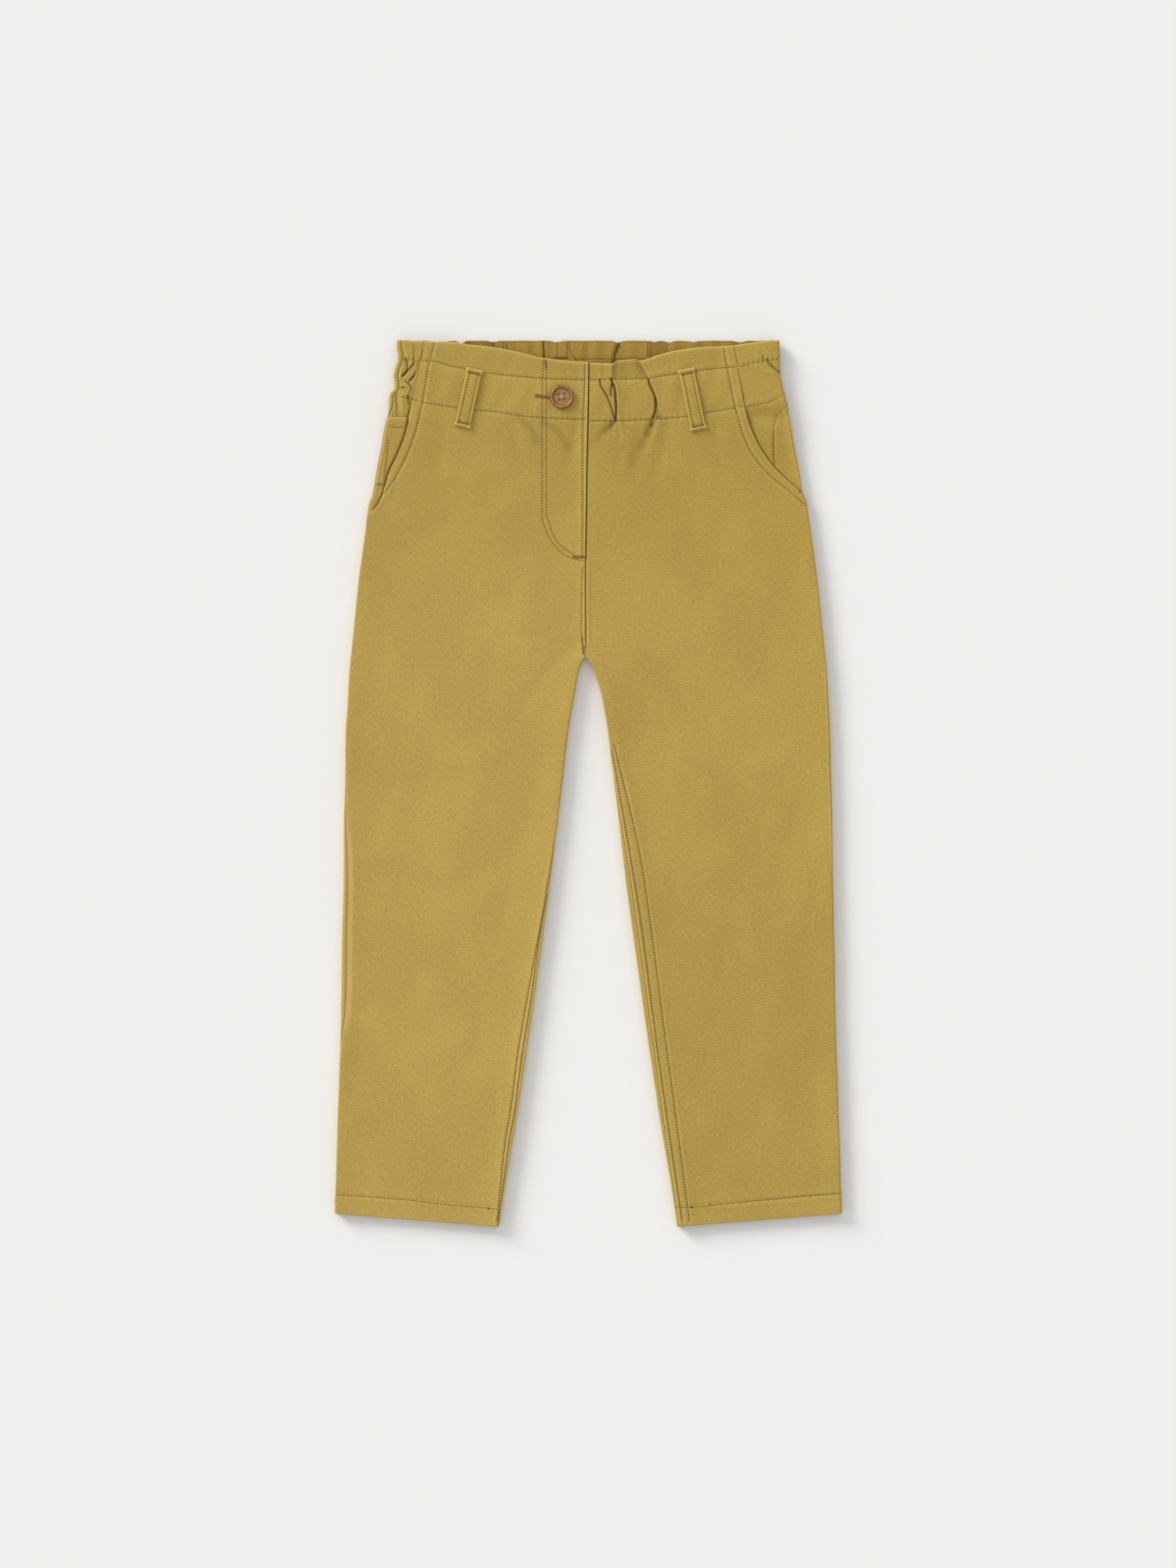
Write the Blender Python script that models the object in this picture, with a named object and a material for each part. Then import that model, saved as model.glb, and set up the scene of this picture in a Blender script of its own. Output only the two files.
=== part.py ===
"""Child's paperbag-waist trousers, laid flat with the front up.

Every leg is a flattened tube. A section across it starts at the middle of the outer
edge and runs over the front or under the back to the inner edge, and the length along
that section, measured from the outer edge, is called its run: positive over the front,
negative under the back. Each panel is a cloth wall between two runs that change down
the leg. All sizes are millimetres; MM turns them into metres when a mesh is made.
+X is the wearer's left, +Y the waist, +Z up, and the origin is under the middle.
"""

import math

import bmesh
import bpy
import numpy as np

MM = 0.001

# Cloth, and the room between pieces.
CLOTH = 1.2                # wall of a single layer
WAIST_CLOTH = 1.6          # wall of the folded waist
SEAM_GAP = 0.3
EDGE_ROUND = 2.6           # how far in from the side the flattened tube is rounded
MOUTH_LAP = 3.0            # the side piece slips this far under a pocket mouth
PROBE = 0.05               # step for the slope of a surface

# Places down the garment.
TOP_Y = 294.3
UPPER_ROW_Y = 281.5        # stitching under the frill, at the sides and back
LOWER_ROW_Y = 256.5        # stitching under the elastic, at the sides and back
HIP_Y = 187.0
CROTCH_Y = 84.2
HEM_OUTER = (168.0, -285.0)
HEM_INNER = (59.0, -293.8)

# Belt loops and button.
LOOP_WIDTH = 10.2
LOOP_THICK = 1.3
LOOP_EDGE = 0.35           # a loop's long edges are thinner by this
LOOP_BULGE = 0.7           # and its middle bows up by this
BUTTON_PLACE = (-17.4, 256.6)
BUTTON_THICK = 2.4
BUTTON_SIDES = 32
BUTTON_HOLE = 0.85
BUTTON_HOLE_REACH = 2.2    # from the button's middle to each of its four holes
BUTTON_TURN = 0.1          # the button is sewn on a little turned

# The coin pocket on the right side piece.
COIN_CLOTH = 0.8
COIN_TOP_Y = 243.0
COIN_END_Y = 199.0
COIN_MARGIN = 0.7          # from the side seam
COIN_GAP = 0.35            # to the pocket mouth

CLOTH_COLOUR = (0.46, 0.33, 0.085)
HORN_COLOUR = (0.29, 0.16, 0.07)


def columns(names, *rows):
    """A table with a name for each column."""
    values = np.array(rows, float)
    return {name: values[:, place] for place, name in enumerate(names.split())}


OUTLINE = columns(
    "y right left inner",
    (-293.8, 168.0, 168.5, 58.9),
    (-275.6, 167.7, 168.0, 56.2),
    (-228.8, 166.4, 166.6, 48.4),
    (-166.4, 164.3, 164.5, 39.0),
    (-104.0, 163.3, 163.3, 30.2),
    (-57.2, 162.2, 162.4, 23.9),
    (-26.0, 162.2, 162.2, 20.3),
    (5.2, 161.2, 161.4, 16.6),
    (36.4, 160.7, 160.7, 13.0),
    (52.0, 159.6, 159.8, 10.4),
    (67.6, 158.9, 158.9, 7.0),
    (78.5, 158.2, 158.2, 4.2),
    (84.2, 157.6, 157.6, 0.0),
    (98.8, 156.0, 156.0, 0.0),
    (130.0, 152.9, 152.9, 0.0),
    (161.2, 148.7, 148.7, 0.0),
    (187.2, 145.6, 145.6, 0.0),
    (208.0, 140.4, 141.0, 0.0),
    (239.2, 134.7, 134.2, 0.0),
    (249.6, 132.1, 132.4, 0.0),
    (257.0, 131.5, 130.8, 0.0),
    (264.0, 128.6, 129.0, 0.0),
    (270.4, 129.0, 127.6, 0.0),
    (281.0, 126.2, 127.1, 0.0),
    (294.3, 125.8, 127.1, 0.0),
)
# The height of the front's face and of the back's face over what the garment lies on,
# the wall, and how much higher the seams make the front at the edges of a leg.
HEIGHTS = columns(
    "y top bottom wall edge",
    (-293.8, 3.8, 0.0, CLOTH, 0.6),
    (84.2, 3.8, 0.0, CLOTH, 0.6),
    (150.0, 4.0, 0.0, CLOTH, 0.6),
    (190.0, 4.5, 0.0, CLOTH, 0.4),
    (214.0, 5.6, 0.7, CLOTH, 0.0),
    (234.0, 7.2, 1.6, CLOTH, 0.0),
    (244.0, 7.8, 1.6, WAIST_CLOTH, 0.0),
    (281.0, 7.8, 1.6, WAIST_CLOTH, 0.0),
    (294.3, 7.3, 1.6, WAIST_CLOTH, 0.0),
)
EDGE_LIFT_REACH = 11.0
# Where the middle seams lie: the front's fly edge and the back's seam, as x.
MIDDLE = columns(
    "y front back",
    (60.0, 0.0, 0.0),
    (84.2, -1.4, -1.4),
    (105.0, -2.3, -2.3),
    (148.0, -2.4, -3.8),
    (175.0, -1.2, -5.3),
    (212.0, -0.7, -7.5),
    (267.0, 0.4, -11.0),
    (294.3, 0.5, -12.6),
)
# How far round from the middle of an edge each seam lies on the front, as a run.
SEAMS = columns(
    "y side_right side_left inseam_right inseam_left",
    (-293.8, 0.0, 0.0, 6.5, 6.0),
    (-263.0, 0.0, 0.0, 7.6, 7.4),
    (-198.0, 0.0, 0.0, 9.8, 8.6),
    (-160.0, 0.0, 0.0, 9.6, 9.2),
    (-99.0, 0.0, 0.0, 6.6, 9.4),
    (-72.0, 0.0, 0.0, 3.6, 8.8),
    (-30.0, 0.0, 0.0, 1.0, 7.6),
    (20.0, 0.0, 0.0, 0.0, 3.6),
    (64.0, 0.0, 0.0, 0.0, 0.0),
    (90.0, 0.0, 0.0, 0.0, 0.0),
    (168.0, 0.0, 0.0, 0.0, 0.0),
    (190.0, 4.6, 0.0, 0.0, 0.0),
    (294.3, 5.2, 0.0, 0.0, 0.0),
)
# The curved pocket mouths, as distance from the middle line.
MOUTH_RIGHT = columns(
    "y out",
    (-293.8, 172.0),
    (176.0, 150.0),
    (180.0, 144.5),
    (187.2, 138.3),
    (207.5, 132.1),
    (218.4, 126.9),
    (233.0, 121.2),
    (255.6, 116.5),
    (281.8, 111.0),
    (294.3, 109.0),
)
MOUTH_LEFT = columns(
    "y out",
    (-293.8, 174.0),
    (184.0, 152.0),
    (188.5, 148.0),
    (192.9, 142.5),
    (200.2, 134.2),
    (209.8, 124.1),
    (225.2, 113.2),
    (239.2, 107.1),
    (250.1, 104.2),
    (277.2, 99.3),
    (294.3, 96.4),
)
# Lines round the front waist: the top of the frill and its two rows of stitching.
WAIST_RIGHT = {
    "top": columns(
        "out y", (-2.0, 279.7), (1.6, 279.8), (29.0, 282.4), (46.3, 286.5), (64.5, 289.9),
        (81.0, 291.7), (91.0, 293.3), (109.2, 293.5), (120.0, TOP_Y),
    ),
    "upper": columns(
        "out y", (-2.0, 267.8), (11.4, 268.3), (27.6, 268.8), (41.6, 269.9), (66.0, 272.5),
        (79.0, 275.1), (91.0, 277.2), (101.9, 280.3), (111.3, 280.8), (124.0, UPPER_ROW_Y),
    ),
    "lower": columns(
        "out y", (-2.0, 241.8), (27.0, 242.8), (41.6, 243.9), (61.4, 247.0), (75.4, 248.0),
        (95.2, 250.9), (109.7, 253.2), (118.0, 255.6), (124.0, LOWER_ROW_Y),
    ),
}
WAIST_LEFT = {
    "top": columns(
        "out y", (-2.0, 279.4), (16.6, 278.8), (18.6, 280.4), (31.8, 281.6), (34.0, 280.6),
        (46.5, 284.4), (59.3, 287.6), (74.4, 289.6), (96.7, 290.9), (109.2, 292.8),
        (122.0, TOP_Y),
    ),
    "upper": columns(
        "out y", (-2.0, 267.9), (16.1, 268.5), (40.0, 269.2), (50.4, 270.9), (71.2, 274.0),
        (91.8, 276.2), (99.3, 276.8), (115.4, 280.4), (123.0, UPPER_ROW_Y),
    ),
    "lower": columns(
        "out y", (-2.0, 240.8), (18.5, 240.8), (44.7, 242.1), (64.5, 243.6), (77.5, 246.1),
        (97.2, 249.3), (119.0, 253.2), (127.0, LOWER_ROW_Y),
    ),
}
# Folds: a ridge, or a groove where the height is negative, along a straight stretch.
FOLD_NAMES = "x0 y0 x1 y1 width height"
FOLDS_FRONT_LEFT = columns(
    FOLD_NAMES,
    (8.3, 267.0, 13.5, 253.0, 2.0, -1.1),
    (13.5, 253.0, 18.5, 242.0, 1.9, -0.9),
    (12.6, 266.0, 17.0, 253.0, 1.8, 0.7),
    (16.6, 266.5, 18.4, 251.5, 1.6, -1.2),
    (21.5, 266.0, 23.0, 246.0, 3.2, 0.7),
    (40.0, 268.0, 45.0, 252.0, 2.0, -1.4),
    (45.0, 252.0, 45.4, 243.0, 2.0, -1.1),
    (35.0, 264.0, 38.0, 246.0, 4.0, 0.7),
    (49.0, 266.0, 51.0, 247.0, 4.0, 0.5),
    (25.0, 281.0, 25.0, 271.0, 6.0, -1.2),
    (37.5, 279.0, 40.5, 270.5, 2.8, 0.8),
    (43.7, 241.3, 33.3, 214.2, 2.4, -1.2),
    (48.0, 238.0, 39.0, 212.0, 3.0, 0.5),
    (19.8, 241.0, 21.3, 233.0, 2.0, -0.6),
    (17.7, 239.2, 5.2, 227.0, 3.0, -0.5),
)
FOLDS_FRONT_RIGHT = columns(
    FOLD_NAMES,
    (-8.0, 238.0, -12.0, 215.0, 4.0, -0.4),
    (-60.0, 180.0, -40.0, 140.0, 10.0, 0.3),
)
FOLDS_SIDE_RIGHT = columns(
    FOLD_NAMES,
    (-123.0, 293.0, -120.5, 284.0, 2.2, 1.3),
    (-116.0, 293.0, -115.5, 284.0, 2.4, 1.1),
    (-125.0, 277.0, -126.0, 266.0, 2.4, 1.2),
    (-117.5, 279.5, -122.5, 268.5, 2.0, 1.4),
    (-122.0, 265.5, -118.5, 259.5, 2.8, 1.4),
    (-121.5, 256.0, -121.8, 246.0, 3.2, 1.5),
    (-128.5, 256.0, -129.5, 246.0, 1.8, 1.0),
)
FOLDS_SIDE_LEFT = columns(
    FOLD_NAMES,
    (112.0, 288.0, 113.0, 282.5, 2.5, 0.5),
    (119.5, 280.0, 126.0, 272.0, 2.2, 0.9),
    (112.0, 277.0, 119.0, 273.0, 2.2, 0.5),
    (128.5, 248.0, 124.5, 226.0, 2.2, -0.5),
)
NO_FOLDS = columns(FOLD_NAMES, (0.0, 0.0, 0.0, 1.0, 1.0, 0.0))
# The button's turned profile, from its dished face round the rim to its underside.
BUTTON_PROFILE = columns(
    "radius height",
    (5.4, 1.5), (6.0, 1.75), (6.5, 2.25), (7.1, BUTTON_THICK), (7.7, 2.15), (8.0, 1.5),
    (7.8, 0.8), (6.6, 0.25), (5.0, 0.0),
)
# The back's elastic gathers, and the belt loops that press them flat.
GATHER_PITCH = 12.4
GATHER_HEIGHT = 0.65
BACK_LOOPS = {
    "belt_loop_back_right": -56.0,
    "belt_loop_back_center": -12.0,
    "belt_loop_back_left": 41.0,
}
BACK_LOOP_Y = (275.5, 239.5)
FRONT_LOOPS = {
    "belt_loop_front_right": ((-74.6, 277.3), (-83.2, 237.2)),
    "belt_loop_front_left": ((64.8, 277.8), (73.6, 236.8)),
}


def smooth(x, y, at):
    """A curve through the points that never swings past them (monotone cubic)."""
    step = np.diff(x)
    slope = np.diff(y) / step
    bend = np.zeros(len(x))
    bend[0], bend[-1] = slope[0], slope[-1]
    before, after = slope[:-1], slope[1:]
    weight_before = 2 * step[1:] + step[:-1]
    weight_after = step[1:] + 2 * step[:-1]
    rising = before * after > 0
    mean = np.zeros(len(before))
    mean[rising] = (weight_before + weight_after)[rising] / (
        weight_before[rising] / before[rising] + weight_after[rising] / after[rising]
    )
    bend[1:-1] = mean
    at = np.clip(at, x[0], x[-1])
    place = np.clip(np.searchsorted(x, at, side="right") - 1, 0, len(step) - 1)
    t = (at - x[place]) / step[place]
    return (
        y[place] * (1 + 2 * t) * (1 - t) ** 2
        + bend[place] * step[place] * t * (1 - t) ** 2
        + y[place + 1] * t * t * (3 - 2 * t)
        + bend[place + 1] * step[place] * t * t * (t - 1)
    )


def read(table, name, y):
    """One column of a table down the garment."""
    return smooth(table["y"], table[name], y)


def ramp(value, start, end):
    """0 before start, 1 after end, smooth between."""
    t = np.clip((value - start) / (end - start), 0, 1)
    return t * t * (3 - 2 * t)


def fold_height(folds, x, y):
    """The sum of all folds at a place: each has a bell profile across and fades at its ends."""
    total = np.zeros(np.broadcast(x, y).shape)
    for x0, y0, x1, y1, width, height in zip(*folds.values()):
        length = math.hypot(x1 - x0, y1 - y0)
        along = ((x - x0) * (x1 - x0) + (y - y0) * (y1 - y0)) / length
        nearest = np.clip(along, 0, length)
        away = np.hypot(x - x0 - nearest * (x1 - x0) / length, y - y0 - nearest * (y1 - y0) / length)
        total = total + height * np.exp(-((away / width) ** 2))
    return total


class Side:
    """One half of the garment: its outline, seams, waist lines and runs."""

    def __init__(self, name, sign, mouth, waist, front_folds, side_folds):
        self.name = name
        self.sign = sign
        self.mouth = mouth
        self.waist = waist
        self.front_folds = front_folds
        self.side_folds = side_folds

    def outer(self, y):
        return read(OUTLINE, self.name, y)

    def wrap(self, y):
        """How far the inner edge is rounded under: 0 above the crotch, 1 on the leg."""
        return ramp(-y, -CROTCH_Y - 12, -CROTCH_Y + 5)

    def inner(self, y, back):
        """Where the half ends towards the middle: the middle seam, then the inner leg."""
        seam = self.sign * read(MIDDLE, "back" if back else "front", y) + SEAM_GAP / 2
        return seam + read(OUTLINE, "inner", y)

    def half_height(self, y):
        return (read(HEIGHTS, "top", y) + read(HEIGHTS, "edge", y) - read(HEIGHTS, "bottom", y)) / 2

    def edge_run(self, y):
        """The length of the rounded edge from its middle to the flat."""
        return math.pi / 2 * np.sqrt((EDGE_ROUND**2 + self.half_height(y) ** 2) / 2)

    def full_run(self, y, back):
        """The run of the inner edge's middle, or of the middle seam above the crotch."""
        curl = self.wrap(y)
        flat = self.outer(y) - EDGE_ROUND - self.inner(y, back) - EDGE_ROUND * curl
        return self.edge_run(y) * (1 + curl) + flat

    def run_at(self, out, y):
        """The run of a place on the front, from its distance from the middle line."""
        flat_from = self.outer(y) - EDGE_ROUND
        turned = np.arccos(np.clip((out - flat_from) / EDGE_ROUND, 0, 1)) / (math.pi / 2)
        return self.edge_run(y) * turned + np.maximum(flat_from - out, 0)

    def mouth_run(self, y):
        return np.maximum(self.run_at(smooth(self.mouth["y"], self.mouth["out"], y), y), self.side_run(y))

    def side_run(self, y):
        return read(SEAMS, "side_" + self.name, y)

    def inseam_run(self, y):
        return read(SEAMS, "inseam_" + self.name, y)

    def loop(self, run, y):
        """A point on the flattened tube before any fold: distance out, height, and whether it is on the back."""
        full_front = self.full_run(y, False)
        full_back = self.full_run(y, True)
        closed = self.wrap(y) > 0.999
        run = np.where(closed & (run < -full_back), full_front + full_back + run, run)
        back = run < 0
        full = np.where(back, full_back, full_front)
        inner = np.where(back, self.inner(y, True), self.inner(y, False))
        length = np.abs(run)
        edge = self.edge_run(y)
        curl = self.wrap(y)
        turn = np.clip(length / edge, 0, 1) * math.pi / 2
        inner_edge = np.maximum(edge * curl, 1e-6)
        inner_turn = np.clip((length - (full - edge * curl)) / inner_edge, 0, 1) * math.pi / 2
        flat = self.outer(y) - EDGE_ROUND - inner - EDGE_ROUND * curl
        out = (
            self.outer(y)
            - EDGE_ROUND * (1 - np.cos(turn))
            - np.clip(length - edge, 0, flat)
            - EDGE_ROUND * curl * np.sin(inner_turn)
        )
        past = np.where(curl < 1e-4, np.maximum(length - full, 0), 0)
        out = out - past
        top = read(HEIGHTS, "top", y)
        bottom = read(HEIGHTS, "bottom", y)
        lift = read(HEIGHTS, "edge", y) * np.maximum(
            np.exp(-(((self.outer(y) - out) / EDGE_LIFT_REACH) ** 2)),
            curl * np.exp(-(((out - inner) / EDGE_LIFT_REACH) ** 2)),
        )
        face = np.where(back, bottom, top + lift)
        middle = bottom + self.half_height(y)
        height = middle + (face - middle) * np.sin(turn) * np.cos(inner_turn * curl)
        return out, height, back

    def point(self, run, y, fold=None):
        """The outer surface of the cloth as x, y, z, raised along z by its folds."""
        out, height, back = self.loop(run, y)
        x = self.sign * out
        if fold is not None:
            height = height + fold(x, y, run)
        return np.stack([x, np.broadcast_to(y, x.shape), height], axis=-1)

    def normal(self, run, y, fold=None):
        """The direction out of the cloth, from the slopes along the run and down the leg."""
        along = self.point(run + PROBE, y, fold) - self.point(run - PROBE, y, fold)
        down = self.point(run, y + PROBE, fold) - self.point(run, y - PROBE, fold)
        across = self.sign * np.cross(down, along)
        return across / np.linalg.norm(across, axis=-1, keepdims=True)

    def waist_y(self, line, out, back):
        """The height of a waist line at a place, straight round the back."""
        if back:
            return np.full(np.shape(out), {"top": TOP_Y, "upper": UPPER_ROW_Y, "lower": LOWER_ROW_Y}[line])
        table = self.waist[line]
        return smooth(table["out"], table["y"], out)

    def row_y(self, level, out, back):
        """The y of a row: levels 0, 1 and 2 are the waist lines, 3 is the hip and 4 the hem."""
        hem = HEM_INNER[1] + (HEM_OUTER[1] - HEM_INNER[1]) * (out - HEM_INNER[0]) / (HEM_OUTER[0] - HEM_INNER[0])
        lines = [
            self.waist_y("top", out, back),
            self.waist_y("upper", out, back),
            self.waist_y("lower", out, back),
            np.full(np.shape(out), HIP_Y),
            hem,
        ]
        first = min(int(level), 3)
        share = level - first
        return lines[first] * (1 - share) + lines[first + 1] * share


RIGHT = Side("right", -1, MOUTH_RIGHT, WAIST_RIGHT, FOLDS_FRONT_RIGHT, FOLDS_SIDE_RIGHT)
LEFT = Side("left", 1, MOUTH_LEFT, WAIST_LEFT, FOLDS_FRONT_LEFT, FOLDS_SIDE_LEFT)


def leg_levels(places):
    """Levels between hip and hem for rows at these heights."""
    return [3 + (HIP_Y - y) / (HIP_Y - HEM_INNER[1]) for y in places]


def row_points(side, level, spread, back):
    """Runs and heights of one row, found by turns because each depends on the other."""
    y = np.full(spread.size, float(side.row_y(level, np.array(100.0), back)))
    for _ in range(6):
        run = spread.runs(side, y)
        out, _, _ = side.loop(run, y)
        y = side.row_y(level, out, back)
    return spread.runs(side, y), y


class Spread:
    """How the points of a row are shared out: two close groups at its ends and a wide middle."""

    def __init__(self, start, first_flat, last_flat, end, counts):
        self.knots = (start, first_flat, last_flat, end)
        self.counts = counts
        self.size = sum(counts) + 1
        parts = [np.arange(count) / count + part for part, count in enumerate(counts)]
        self.places = np.append(np.concatenate(parts), len(counts))

    def runs(self, side, y):
        ends = np.stack([knot(side, y) * np.ones_like(y) for knot in self.knots])
        part = np.minimum(self.places.astype(int), len(self.counts) - 1)
        share = self.places - part
        picked = np.arange(self.size)
        return ends[part, picked] * (1 - share) + ends[part + 1, picked] * share


def join_rows(first, first_places, second, second_places):
    """Faces between two rows of points that may have different counts."""
    if len(first) == len(second):
        return [
            (first[i], first[i + 1], second[i + 1], second[i]) for i in range(len(first) - 1)
        ]
    faces = []
    i = j = 0
    while i < len(first) - 1 or j < len(second) - 1:
        next_first = first_places[i + 1] if i < len(first) - 1 else math.inf
        next_second = second_places[j + 1] if j < len(second) - 1 else math.inf
        if next_first <= next_second:
            faces.append((first[i], first[i + 1], second[j]))
            i += 1
        else:
            faces.append((first[i], second[j + 1], second[j]))
            j += 1
    return faces


def wall_object(name, rows, places, colour):
    """A closed wall from rows of (outer points, inner points)."""
    points = []
    outer = []
    inner = []
    for outside, inside in rows:
        outer.append(list(range(len(points), len(points) + len(outside))))
        points.extend(outside)
        inner.append(list(range(len(points), len(points) + len(inside))))
        points.extend(inside)
    faces = []
    for k in range(len(rows) - 1):
        faces += join_rows(outer[k], places[k], outer[k + 1], places[k + 1])
        faces += [f[::-1] for f in join_rows(inner[k], places[k], inner[k + 1], places[k + 1])]
        faces.append((outer[k][0], outer[k + 1][0], inner[k + 1][0], inner[k][0]))
        faces.append((outer[k + 1][-1], outer[k][-1], inner[k][-1], inner[k + 1][-1]))
    for k, turned in ((0, False), (-1, True)):
        for i in range(len(outer[k]) - 1):
            rim = (outer[k][i + 1], outer[k][i], inner[k][i], inner[k][i + 1])
            faces.append(rim[::-1] if turned else rim)
    return mesh_object(name, points, faces, colour)


def mesh_object(name, points, faces, colour, roughness=0.9):
    """A named object from points in millimetres, faces turned outwards, with its own material."""
    mesh = bpy.data.meshes.new(name)
    mesh.from_pydata([tuple(MM * float(c) for c in p) for p in points], [], faces)
    built = bmesh.new()
    built.from_mesh(mesh)
    bmesh.ops.triangulate(built, faces=built.faces)
    bmesh.ops.recalc_face_normals(built, faces=built.faces)
    built.to_mesh(mesh)
    built.free()
    mesh.shade_smooth()
    mesh.set_sharp_from_angle(angle=math.radians(50))
    made = bpy.data.objects.new(name, mesh)
    bpy.context.scene.collection.objects.link(made)
    mesh.materials.append(plain_material(name, colour, roughness))
    return made


def plain_material(name, colour, roughness):
    """A Principled finish in one colour."""
    material = bpy.data.materials.new(name)
    material.use_nodes = True
    shader = material.node_tree.nodes["Principled BSDF"]
    shader.inputs["Base Color"].default_value = (*colour, 1)
    shader.inputs["Roughness"].default_value = roughness
    shader.inputs["Metallic"].default_value = 0
    return material


def panel(name, side, levels, spreads, back, fold, sink=None, thick=None, colour=CLOTH_COLOUR):
    """A cloth wall: its rows are levels down the garment and its columns follow a spread."""
    rows = []
    places = []
    for level, spread in zip(levels, spreads):
        run, y = row_points(side, level, spread, back)
        outside = side.point(run, y, fold)
        normal = side.normal(run, y, fold)
        wall = read(HEIGHTS, "wall", y) if thick is None else np.full(len(y), thick)
        if sink is not None:
            outside = outside - normal * sink(side, run, y)[:, None]
        rows.append((outside, outside - normal * wall[:, None]))
        places.append(spread.places / spread.places[-1])
    return wall_object(name, rows, places, colour)


def front_start(side, y):
    return side.mouth_run(y) + SEAM_GAP / 2


def front_start_flat(side, y):
    return side.mouth_run(y) + side.edge_run(y)


def front_end(side, y):
    return side.full_run(y, False) - side.inseam_run(y) - SEAM_GAP / 2


def front_end_flat(side, y):
    return front_end(side, y) - side.edge_run(y)


def back_start(side, y):
    return side.side_run(y) - SEAM_GAP / 2


def back_start_flat(side, y):
    return -side.edge_run(y)


def back_end(side, y):
    """On the leg the back turns over the inner edge by the inseam's run, above it stops at the middle seam."""
    return -side.full_run(y, True) - side.inseam_run(y) + SEAM_GAP / 2 * side.wrap(y)


def back_end_flat(side, y):
    return -side.full_run(y, True) + side.edge_run(y)


def side_start(side, y):
    return side.side_run(y) + SEAM_GAP / 2


def side_end(side, y):
    return side.mouth_run(y) + MOUTH_LAP


def side_flat(share):
    """A place part of the way across the side piece."""

    def at(side, y):
        return side_start(side, y) * (1 - share) + side_end(side, y) * share

    return at


def side_sink(side, run, y):
    """The side piece drops below the front where the pocket mouth crosses it."""
    start = side.side_run(y)
    drop = read(HEIGHTS, "wall", y) + SEAM_GAP
    width = np.minimum(side.mouth_run(y) - start, 9.0)
    return drop * ramp((run - start) / width, 0.0, 0.9)


def side_fold(side):
    """The side piece's gathers, flat where it passes under the front."""

    def height(x, y, run):
        clear = 1 - ramp(run - side.mouth_run(y), -3.0, -0.8)
        clear = clear * ramp(run - side.side_run(y), 0.3, 2.6) * ramp(y, 245.0, 249.0)
        return fold_height(side.side_folds, x, y) * clear

    return height


def front_fold(side):
    """The front's own folds."""

    def height(x, y, run):
        return fold_height(side.front_folds, x, y)

    return height


def back_fold(side):
    """Gathers of the back's elastic waist, pressed flat at the belt loops and at the sides."""

    def height(x, y, run):
        wave = np.cos(2 * math.pi * x / GATHER_PITCH + 0.9 * np.sin(x / 17.0))
        deep = ramp(y, 214.0, 250.0) * (0.55 + 0.45 * ramp(np.abs(y - UPPER_ROW_Y), 0.5, 7.0))
        clear = ramp(-run, side.edge_run(y) + 1.0, side.edge_run(y) + 9.0)
        for loop_x in BACK_LOOPS.values():
            clear = clear * ramp(np.abs(x - loop_x), LOOP_WIDTH / 2 + 0.5, LOOP_WIDTH / 2 + 4.0)
        return GATHER_HEIGHT * wave * deep * clear

    return height


def coin_sink(side, run, y):
    """The coin pocket lies on the side piece, so it sinks by less than its own wall and the gap."""
    return side_sink(side, run, y) - COIN_CLOTH - SEAM_GAP


def coin_start(side, y):
    return side.side_run(y) + COIN_MARGIN


def coin_end(side, y):
    return side.mouth_run(y) - COIN_GAP


def coin_flat(share):
    """A place part of the way across the coin pocket."""

    def at(side, y):
        return coin_start(side, y) * (1 - share) + coin_end(side, y) * share

    return at


def level_of(side, y, out):
    """The level of a height between the lower waist row and the hip."""
    lower = float(side.waist_y("lower", np.array(out), False))
    return 2 + (lower - y) / (lower - HIP_Y)


WAIST_ROWS = [0, 0.35, 0.7, 1, 1.2, 1.4, 1.6, 1.8, 2]
HIP_ROWS = [2.09, 2.17, 2.3, 2.5, 2.68, 2.84]
LEG_ROWS = leg_levels((187, 168, 148, 126, 108, 97, 90, 84.2, 80, 74, 66, 52, 32, 5, -40, -95, -155, -215, -262))


def build_fronts():
    """Each front is one piece from the frill at its waist to the hem."""
    leg = LEG_ROWS + [4]
    for side, waist_columns in ((RIGHT, 11), (LEFT, 34)):
        band = Spread(front_start, front_start_flat, front_end_flat, front_end, (2, waist_columns, 2))
        plain = Spread(front_start, front_start_flat, front_end_flat, front_end, (3, 6, 3))
        folded_rows = 4 if side is LEFT else 0
        upper = WAIST_ROWS + HIP_ROWS[:folded_rows]
        lower = HIP_ROWS[folded_rows:] + leg
        spreads = [band] * len(upper) + [plain] * len(lower)
        panel("front_" + side.name, side, upper + lower, spreads, False, front_fold(side))


def build_backs():
    """Each back is one piece, gathered along its elastic waist."""
    waist = WAIST_ROWS + HIP_ROWS[1:4]
    leg = HIP_ROWS[4:] + LEG_ROWS + [4]
    for side in (RIGHT, LEFT):
        band = Spread(back_start, back_start_flat, back_end_flat, back_end, (5, 32, 2))
        plain = Spread(back_start, back_start_flat, back_end_flat, back_end, (5, 5, 7))
        spreads = [band] * len(waist) + [plain] * len(leg)
        panel("back_" + side.name, side, waist + leg, spreads, True, back_fold(side))


def build_side_pieces():
    """The hip pieces that show inside the pocket mouths, up to the frill."""
    for side, last_y, count in ((RIGHT, 187.5, 14), (LEFT, 194.5, 11)):
        last = level_of(side, last_y, 140.0)
        levels = WAIST_ROWS + HIP_ROWS + [last]
        spread = Spread(side_start, side_flat(0.2), side_flat(0.8), side_end, (3, count, 3))
        panel(
            "side_" + side.name, side, levels, [spread] * len(levels), False, side_fold(side), sink=side_sink
        )


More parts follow.
